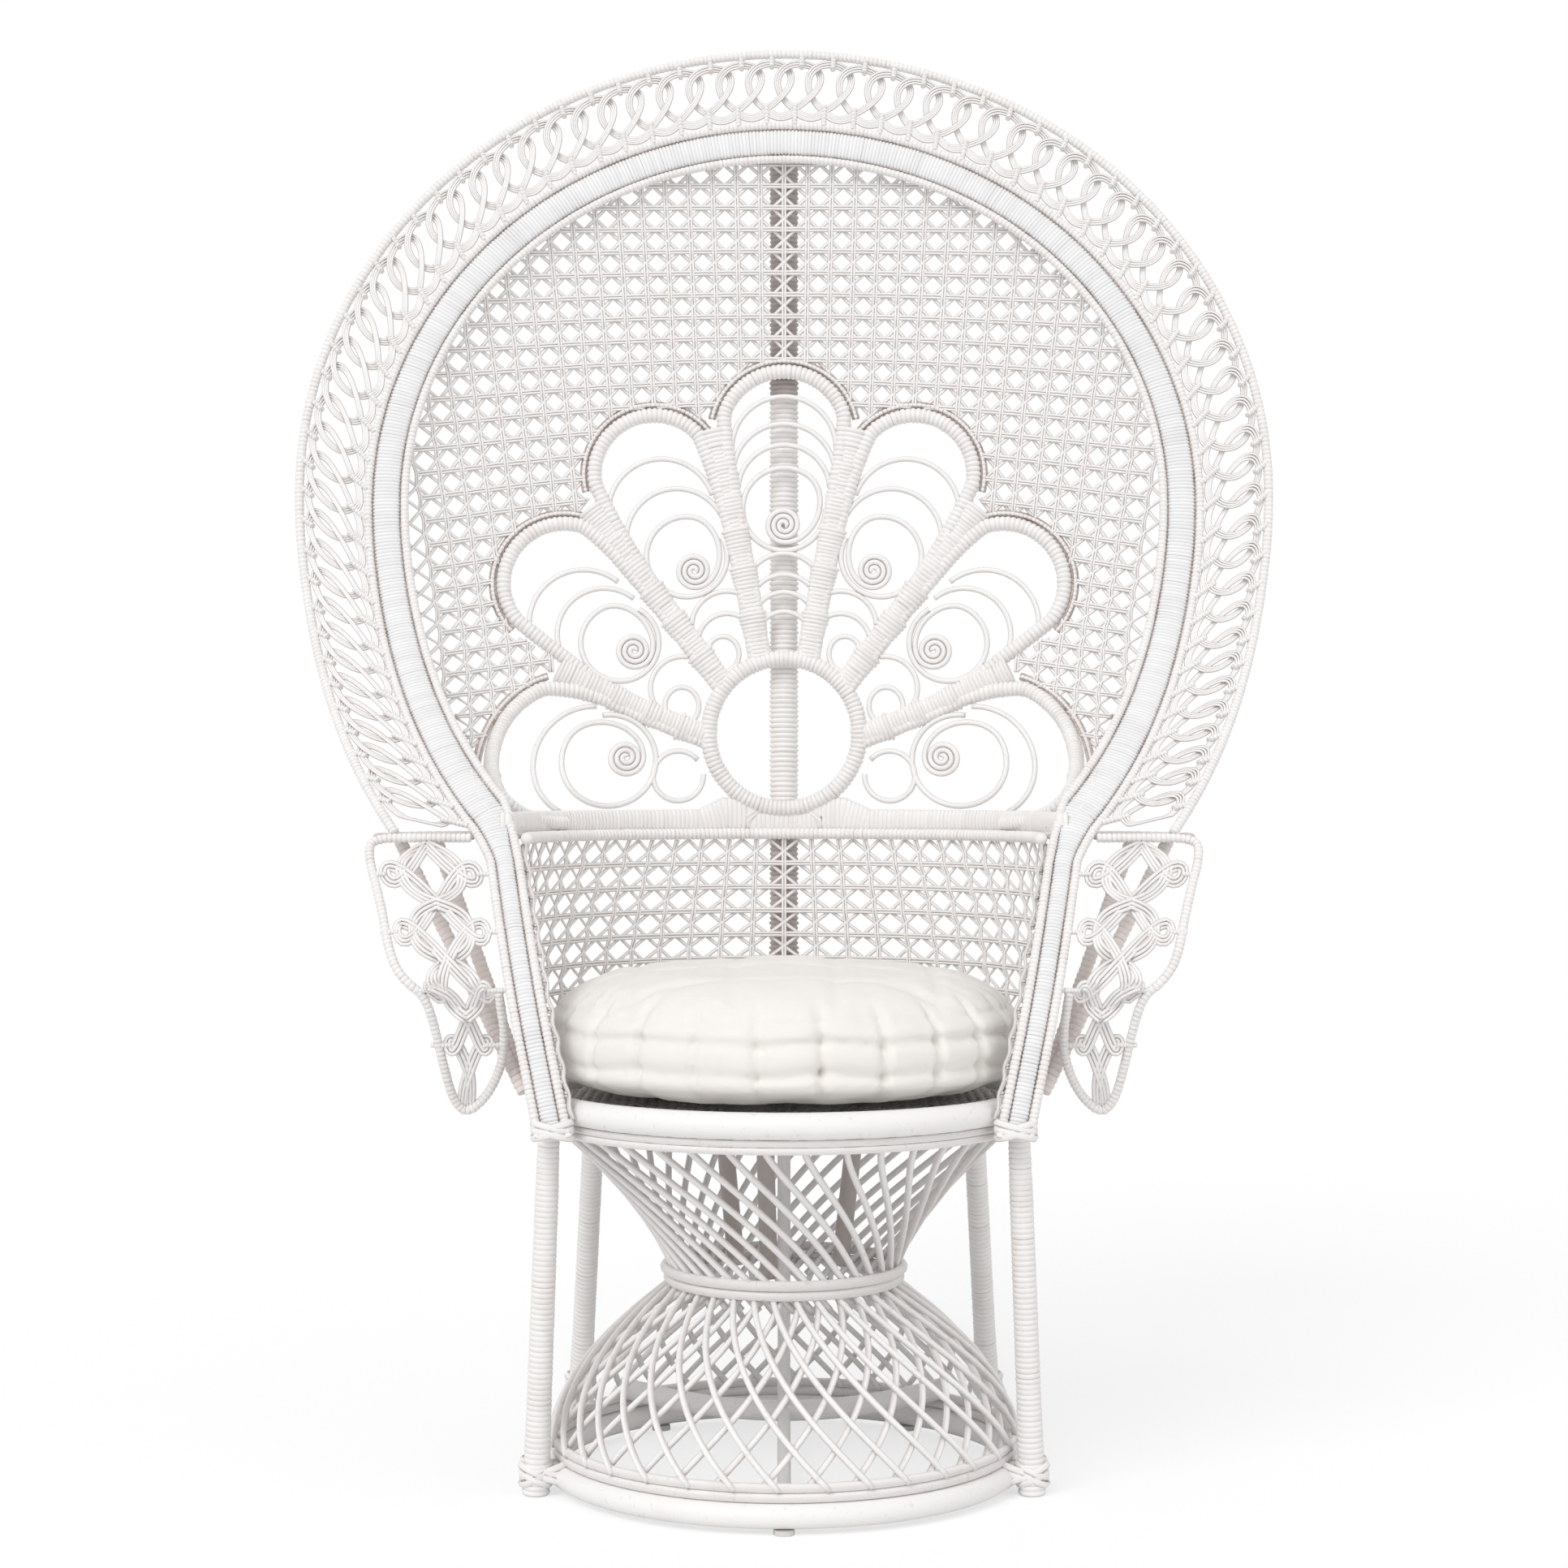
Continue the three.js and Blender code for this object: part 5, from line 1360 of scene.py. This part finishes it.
def arch(k, apex, radius, way, half_turn):
    """A round arch whose head is at the apex, at most half_turn degrees long each way and cut where it
    reaches the feather's cane: the unbroken stretch about the head, inside the feather, is kept."""
    angle = np.radians(np.linspace(-half_turn, half_turn, 240))
    tilt = np.radians(way)
    centre = bow(apex, -radius, tilt)
    places = bow(centre, radius, angle + tilt)
    frame_line = feather_line(k)
    if k == 0:
        frame_line = np.concatenate([frame_line, frame_line * [-1, 1]])
    near = np.linalg.norm(places[:, None] - frame_line, axis=-1).min(1) < feather_radius * 0.9
    floor = places[:, 1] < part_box("fan_board")[1].z
    stops = np.flatnonzero(near | floor)
    head = len(angle) // 2
    low = stops[stops < head].max(initial=0)
    high = stops[stops > head].min(initial=len(angle) - 1)
    return places[low:high + 1]


arch_lines = []
for k in range(4):
    centre = fan_place(curl_reaches[k], curl_angles[k])
    out = unit(fan_place(1.0, curl_angles[k]) - fan_place(0.0, 0.0))
    for height, radius in arch_sizes[k]:
        apex = centre + out * height * mm
        arch_lines.append((k, arch(k, apex, radius * mm, curl_angles[k], outer_half_turn)))
    for reach, degrees, radius in inner_arches[k]:
        apex = fan_place(reach * mm, degrees)
        arch_lines.append((k, arch(k, apex, radius * mm, degrees, inner_half_turn)))
arch_parts = []
for k, line in arch_lines:
    for _, side in sides_of(k):
        route = evenly(on_dish(line * [side, 1]), np.linspace(0, 1, 32))
        arch_parts.append(sweep(route, backward, arch_cane_radius, sides=8))
ring_turn = 2 * np.pi * np.arange(40) / 40
for k, reach, degrees, radius in hub_rings:
    ring = radius * mm * np.stack([np.cos(ring_turn), hub_ring_stretch * np.sin(ring_turn)], -1)
    for _, side in sides_of(k):
        route = on_dish((fan_place(reach * mm, degrees) + ring) * [side, 1])
        arch_parts.append(sweep(route, backward, arch_cane_radius, sides=8, closed=True))
piece("fan_arches", arch_parts, curl_paint)

# Base board of the fan
# A flat lath on the fan rail, wound upright with fine cane, that rises at the hub where its ribs come down.
board_half = 290 * mm
board_low, board_high = box_heights("fan_board")
board_half_depth = 5 * mm
board_cover = 2 * mm
board_hump = 14 * mm
hump_end = 95 * mm
hump_slope = 30 * mm
hump_start = 40 * mm
board_x = np.linspace(-board_half, board_half, 120)
hump_share = np.clip((hump_end - abs(board_x)) / hump_slope, 0, 1) * (abs(board_x) > hump_start)
board_top = board_high + board_hump * hump_share
board_route = dish(board_x, (board_low + board_top) / 2)
board_half_height = (board_top - board_low) / 2 + board_cover
board_paint = wound_paint("wound_board", groove_share=0.5, wear_share=0.2)
board_wound = wound(board_route, backward, board_half_height, fan_wrap, board_half_depth,
                    sides=12, rise=0.08, seed=80)
piece("fan_board_wound", [board_wound], board_paint, ["fan_board"])

# Upper weave
# The same six-way weave over the hollow of the head, from the fan's edge out to the inner roll.
# Its rows arch up in the middle and its uprights draw together downwards.
weave_width = 26.2 * mm
weave_rise = 24.8 * mm
weave_datum = 1300 * mm
weave_low = 690 * mm
weave_rows = 30
weave_columns = 17
fan_apex_drop = 2570 * mm
lowest_weave = 108
lobe_margin = 10 * mm
weave_foot = 700 * mm
drop_slope = 0.65
drop_at_datum = 0.09
drop_limits = (0.06, 0.3)


def head_weave(i, j):
    """Columns spread steadily with height from a far point below, and rows drop with the square of the way
    out from the middle, more strongly lower down."""
    level = weave_low + weave_rise * j
    x = weave_width * i * (1 + (level - weave_datum) / fan_apex_drop)
    drop = drop_at_datum + drop_slope * (weave_datum - level)
    return dish(x, level - np.clip(drop, *drop_limits) * x ** 2)


def feather_edge(x, z):
    """Reach of the fan's outline from the hub, in the direction of each place: the farthest point of any
    lobe's circle on that ray, at least the line from cusp to cusp, and without end below the last lobe."""
    towards = unit(np.stack([x, z - hub_height], -1))
    degrees = np.degrees(np.arctan2(abs(x), z - hub_height))
    cusp_shares, cusp_angles = np.array(cusp_places).T
    reach = fan_reach * np.interp(degrees, cusp_angles, cusp_shares)
    reach = np.where(degrees > lowest_weave, 10.0, reach)
    for k in range(4):
        for side in (1, -1):
            centre = (fan_place(lobe_reaches[k], lobe_angles[k]) - [0, hub_height]) * [side, 1]
            along = towards @ centre
            across = centre @ centre - along ** 2
            room = (lobe_radii[k] + lobe_margin) ** 2 - across
            far_side = along + np.sqrt(np.maximum(0, room))
            reach = np.where(room > 0, np.maximum(reach, far_side), reach)
    return reach


def head_inside(i, j):
    """Between the fan's outline and the inner roll."""
    place = head_weave(i, j)
    x, z = place[:, 0], place[:, 2]
    half = band_half - roll_offset
    reach = np.where(z > band_centre, band_rise, band_drop) - roll_offset
    in_head = (x / half) ** 2 + ((z - band_centre) / reach) ** 2 < 1
    return in_head & (np.hypot(x, z - hub_height) > feather_edge(x, z)) & (z > weave_foot)


head_parts = woven(head_weave, head_inside, weave_columns, weave_rows)
for kind, strands in head_parts.items():
    piece("head_weave_" + kind, strands, weave_paint, ["upper_back_net"] if kind == "rows" else ())

# Back post
# A stout wound pole behind the back, from the seat ring up to the top of the head; outside its lit middle
# stretch it has painted shade.
back_post_radius = 16.6 * mm
back_post_wrap = 5.6 * mm
back_post_low = 345 * mm
back_post_high = 1440 * mm
post_behind_head = 26.3 * mm
post_back = wall_radius(leg_top) + 19.3 * mm
back_post_points = np.array([
    [0, post_back, back_post_low],
    [0, post_back, leg_top],
    [0, rear_depth(arm_height) + post_behind_head, arm_height],
    [0, rear_depth(back_post_high) + post_behind_head, back_post_high],
])
post_white = (0.90, 0.885, 0.875, 1)
# Painted shade for the post where it stands behind the weaves, below and above the lit heights.
post_dim = (0.42, 0.37, 0.345, 1)
post_lit_heights = (645 * mm, 1130 * mm)
post_paint = wound_paint("wound_back_post", white=post_white, groove=bare_cane, wear_share=0.25,
                         dim=post_dim, lit_heights=post_lit_heights)
post_route = smoothed(back_post_points, 2)
piece("back_post_wound", [wound(post_route, backward, back_post_radius, back_post_wrap, sides=20, seed=90)],
      post_paint, ["back_post"])

# Arm frames
# On each side a wound cane outlines a front panel: out along the arm, down past the elbow to a tip beside
# the seat, and back up to the post.
arm_reach = 423 * mm
arm_cane_radius = 4.8 * mm
arm_wrap = 5 * mm
arm_tip_height = 374 * mm
elbow_height = 511 * mm
elbow_tuck = 0.45
arm_top_centre = arm_height - arm_cane_radius
arm_outline_shares = np.array([
    [0.065, 1], [0.5, 1], [0.93, 1], [1, 0.955], [0.84, 0.77], [0.746, 0.572], [0.636, 0.493], [0.527, 0.446],
    [0.495, 0.342], [0.48, 0.162], [0.457, 0.04], [0.384, 0], [0.206, 0.1], [0.061, 0.259], [0.02, 0.46],
])


def arm_point(side, reach_share, height_share):
    """Places on a front panel: shares of the way from the post out to the arm's reach, and of the way up
    from the tip to the arm's top. Below the elbow the panel tucks back."""
    height = arm_tip_height + (arm_top_centre - arm_tip_height) * np.asarray(height_share, float)
    inner = -post_centre(height) + post_offset(face_edge) + touching_gap + arm_cane_radius
    x = inner + (arm_reach - inner) * np.asarray(reach_share, float)
    tuck = elbow_tuck * np.maximum(0, elbow_height - height)
    depth = face_depth(np.maximum(height, elbow_height)) + tuck
    return np.stack([side * x, depth, height], -1)


arm_paint = wound_paint("wound_arm", groove_share=0.8, wear_share=0.45)
strut_white = (0.84, 0.77, 0.73, 1)
strut_groove = (0.40, 0.29, 0.24, 1)
strut_paint = wound_paint("wound_strut", white=strut_white, groove=strut_groove, wear_share=0.3)
outer_edge_shares = np.array([[0.0, 0.42], [0.162, 0.44], [0.342, 0.45], [0.446, 0.47], [0.493, 0.57],
                              [0.572, 0.68], [0.77, 0.79], [1.0, 0.94]])
inner_edge_shares = np.array([[0.0, 0.40], [0.162, 0.22], [0.342, 0.10], [0.493, 0.04], [0.572, 0], [0.77, 0],
                              [1.0, 0.02]])
plait_strand = 2.1 * mm
plait_spacing = 4.0 * mm
plait_head_share = 0.87
plait_level_share = 0.203
plait_bundles = [
    ((-0.5, 2.0), 0.46, -0.36, 4.0 * mm),
    ((-0.5, 2.5), 0.30, 0.06, -4.0 * mm),
    ((2.0, 3.95), 0.42, -0.30, 3.4 * mm),
]
arm_tie_half_width = 2.6 * mm
arm_tie_half_depth = 4.6 * mm
arm_tie_wrap = 3.4 * mm
plait_paint = painted("painted_plait", flank_shade_share=0.5, wear_share=0.35)


def plait(side, levels, phase, reach, loop, lift):
    """A bundle of canes that zigzags down a panel: the way across is a sine of the angle, and the way down a
    steady run with a sine of twice the angle on top, which throws a loop at each side where it is large. A
    sine of three times the angle lifts the bundle over and under the others. The canes lie side by side."""
    first, last = levels
    angle = np.linspace(first, last, 24 * round(last - first) + 1) * np.pi
    fall = plait_level_share * (angle / np.pi + loop * np.sin(2 * angle))
    height = plait_head_share - fall
    across = 0.5 + reach * np.sin(angle + phase)
    outer = np.interp(height, *outer_edge_shares.T)
    inner = np.interp(height, *inner_edge_shares.T)
    middle = arm_point(side, inner + (outer - inner) * across, height)
    middle = middle + face_normal * (lift * np.sin(3 * angle))[:, None]
    along = unit(np.gradient(middle, axis=0))
    aside = np.cross(along, backward)
    return [sweep(middle + aside * (number * plait_spacing), backward, plait_strand, sides=6)
            for number in (-1, 0, 1)]


for word, side in (("left", -1), ("right", 1)):
    reach, height = arm_outline_shares.T
    outline = smoothed(arm_point(side, reach, height), 3)
    piece(f"arm_frame_{word}_wound", [wound(outline, backward, arm_cane_radius, arm_wrap, sides=10, seed=91)],
          arm_paint, [f"arm_frame_{word}"])
    parts = []
    for phase in (np.pi / 2, -np.pi / 2):
        for levels, reach, loop, lift in plait_bundles:
            parts += plait(side, levels, phase, reach, loop, lift)
    piece(f"arm_plait_{word}", parts, plait_paint, [f"arm_braid_{word}"])
    ties = []
    for level in range(4):
        height = plait_head_share - plait_level_share * level
        for row, way in ((outer_edge_shares, 1), (inner_edge_shares, -1)):
            share = np.interp(height, *row.T) + way * np.linspace(-0.04, 0.09, 5)
            route = arm_point(side, share, np.full(5, height))
            ties.append(wound(route, backward, arm_tie_half_width, arm_tie_wrap, arm_tie_half_depth,
                              sides=8, seed=level + 2))
    piece(f"arm_ties_{word}", ties, arm_paint, ())

# Arm tops and struts
# Canes laid side by side from the front edge back to the wall make each flat arm top, and a pair of wound
# canes props it from the seat.
arm_top_depth = 160 * mm
top_front = face_depth(arm_height) + 10 * mm
top_wall_gap = 2.6 * mm


def wall_reach(depth):
    """Half width of the wall and the gap beside it at a depth, at the height of the arms."""
    radius, back, _ = wall_arc(arm_height)
    return np.sqrt(np.maximum(0, radius ** 2 - (depth - back) ** 2)) + top_wall_gap


top_paint = painted("painted_arm_top", flank_shade_share=0.5, wear_share=0.4)
top_cane_radius = 3.6 * mm
top_cane_half_width = 4.6 * mm
strut_radius = 7.2 * mm
strut_wrap = 6.4 * mm
strut_foot_height = 397 * mm
strut_foot_outset = 8.1 * mm
strut_foot_apart = 5 * mm
strut_angle = np.radians(194)
for word, side in (("left", -1), ("right", 1)):
    canes = 20
    share = (np.arange(canes) + 0.5) / canes
    run = np.linspace(0, 1, 22)
    depth_end = arm_top_depth * np.sqrt(1 - share ** 2)
    depth = top_front + depth_end[:, None] * run
    inner = wall_reach(depth)
    outer = inner + (arm_reach - top_cane_radius - inner) * share[:, None]
    height = np.full(depth.shape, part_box(f"arm_top_{word}")[1].z - top_cane_radius)
    routes = np.stack([side * outer, depth, height], -1)
    piece(f"arm_top_{word}_canes", [sweep(routes, upright, top_cane_half_width, top_cane_radius, sides=8)],
          top_paint, [f"arm_top_{word}"])
    foot_reach = wall_radius(strut_foot_height) + strut_foot_outset
    foot = np.array([-side * np.cos(strut_angle), np.sin(strut_angle), 0]) * foot_reach
    foot = foot + upright * strut_foot_height
    parts = []
    for turn, reach_share, depth_share in ((-1, 0.94, 0.22), (1, 0.86, 0.42)):
        head = np.array([side * arm_reach * reach_share, top_front + arm_top_depth * depth_share,
                         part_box(f"arm_strut_{word}")[1].z])
        route = pole(foot + backward * turn * strut_foot_apart, head)
        parts.append(wound(route, backward, strut_radius, strut_wrap, sides=12, seed=95 + turn))
    piece(f"arm_strut_{word}_wound", parts, strut_paint, [f"arm_strut_{word}"])

# Studio
# A pale floor, soft light from all round that is a little stronger ahead of the chair than behind it, one
# broad lamp from the upper left and a weaker one from the right, and a level camera in front of the chair.
floor_mesh = bpy.data.meshes.new("studio_floor")
floor_half = 30.0
floor_corners = [(-floor_half, -floor_half, 0), (floor_half, -floor_half, 0), (floor_half, floor_half, 0),
                 (-floor_half, floor_half, 0)]
floor_mesh.from_pydata(floor_corners, [], [(0, 1, 2, 3)])
floor = placed("studio_floor", floor_mesh)
floor_paint = Finish("studio_floor", 0.9)
seen = floor_paint.node("ShaderNodeLightPath", output="Is Camera Ray")
floor_pale = (0.9, 0.9, 0.9, 1)
floor_seen = (0.4, 0.4, 0.4, 1)
floor_paint.surface(Base_Color=floor_paint.blend(seen, floor_pale, floor_seen), Specular_IOR_Level=0.0)
floor_glow = 0.62
glow = floor_paint.node("ShaderNodeEmission", {}, {"Color": (1, 1, 1, 1), "Strength": seen * floor_glow})
surface = Wire(floor_paint, floor_paint.shader.outputs[0])
both = floor_paint.node("ShaderNodeAddShader", {}, {0: surface, 1: glow})
floor_paint.feed(floor_paint.tree.nodes["Material Output"].inputs["Surface"], both)
floor_mesh.materials.append(floor_paint.material)


class Sky(Finish):
    """The light from all round, built up from nodes like a finish."""

    def __init__(self, name):
        self.material = bpy.data.worlds.new(name)
        self.material.use_nodes = True
        self.tree = self.material.node_tree
        self.shader = self.tree.nodes["Background"]


sky = Sky("studio")
bpy.context.scene.world = sky.material
light_ahead = 0.70
light_behind = 0.62
light_way = (-0.25, -0.78, 0.57)
seen_way = sky.node("ShaderNodeTexCoord", output="Generated")
ahead_share = sky.node("ShaderNodeVectorMath", {"operation": "DOT_PRODUCT"},
                       {0: seen_way, 1: light_way}, output="Value")
light = sky.node("ShaderNodeMapRange", {},
                 {0: ahead_share, 1: -0.6, 2: 0.9, 3: light_behind, 4: light_ahead})
shown, mirrored, through = (sky.node("ShaderNodeLightPath", output=path)
                            for path in ("Is Camera Ray", "Is Glossy Ray", "Is Transmission Ray"))
white_share = shown.math("MAXIMUM", shown, mirrored.math("MAXIMUM", mirrored, through))
sky.surface(Color=(1, 1, 1, 1), Strength=light + (1 - light) * white_share)


def lamp(name, strength, direction, softness):
    """A sun lamp that shines along a direction."""
    data = bpy.data.lights.new(name, "SUN")
    data.energy = strength
    data.angle = np.radians(softness)
    level_turn = np.arctan2(direction[1], direction[0])
    tip = np.arctan2(np.hypot(direction[0], direction[1]), -direction[2])
    placed(name, data).rotation_euler = (tip, 0, level_turn - np.pi / 2)


key_strength = 1.2
key_way = (0.45, 0.75, -0.8)
fill_strength = 0.3
fill_way = (-0.7, 0.6, -0.4)
lamp("key_lamp", key_strength, key_way, 35)
lamp("fill_lamp", fill_strength, fill_way, 60)

camera_data = bpy.data.cameras.new("camera")
camera = placed("camera", camera_data)
bpy.context.scene.camera = camera
image_side = 1932
focal_pixels = 3425
camera_distance = 2845 * mm
camera_height = 705 * mm
camera_data.lens = camera_data.sensor_width * focal_pixels / image_side
camera.location = (ring_middle - backward * camera_distance + upright * camera_height).tolist()
camera.rotation_euler = (np.pi / 2, 0, 0)

bpy.context.scene.view_settings.view_transform = "Standard"
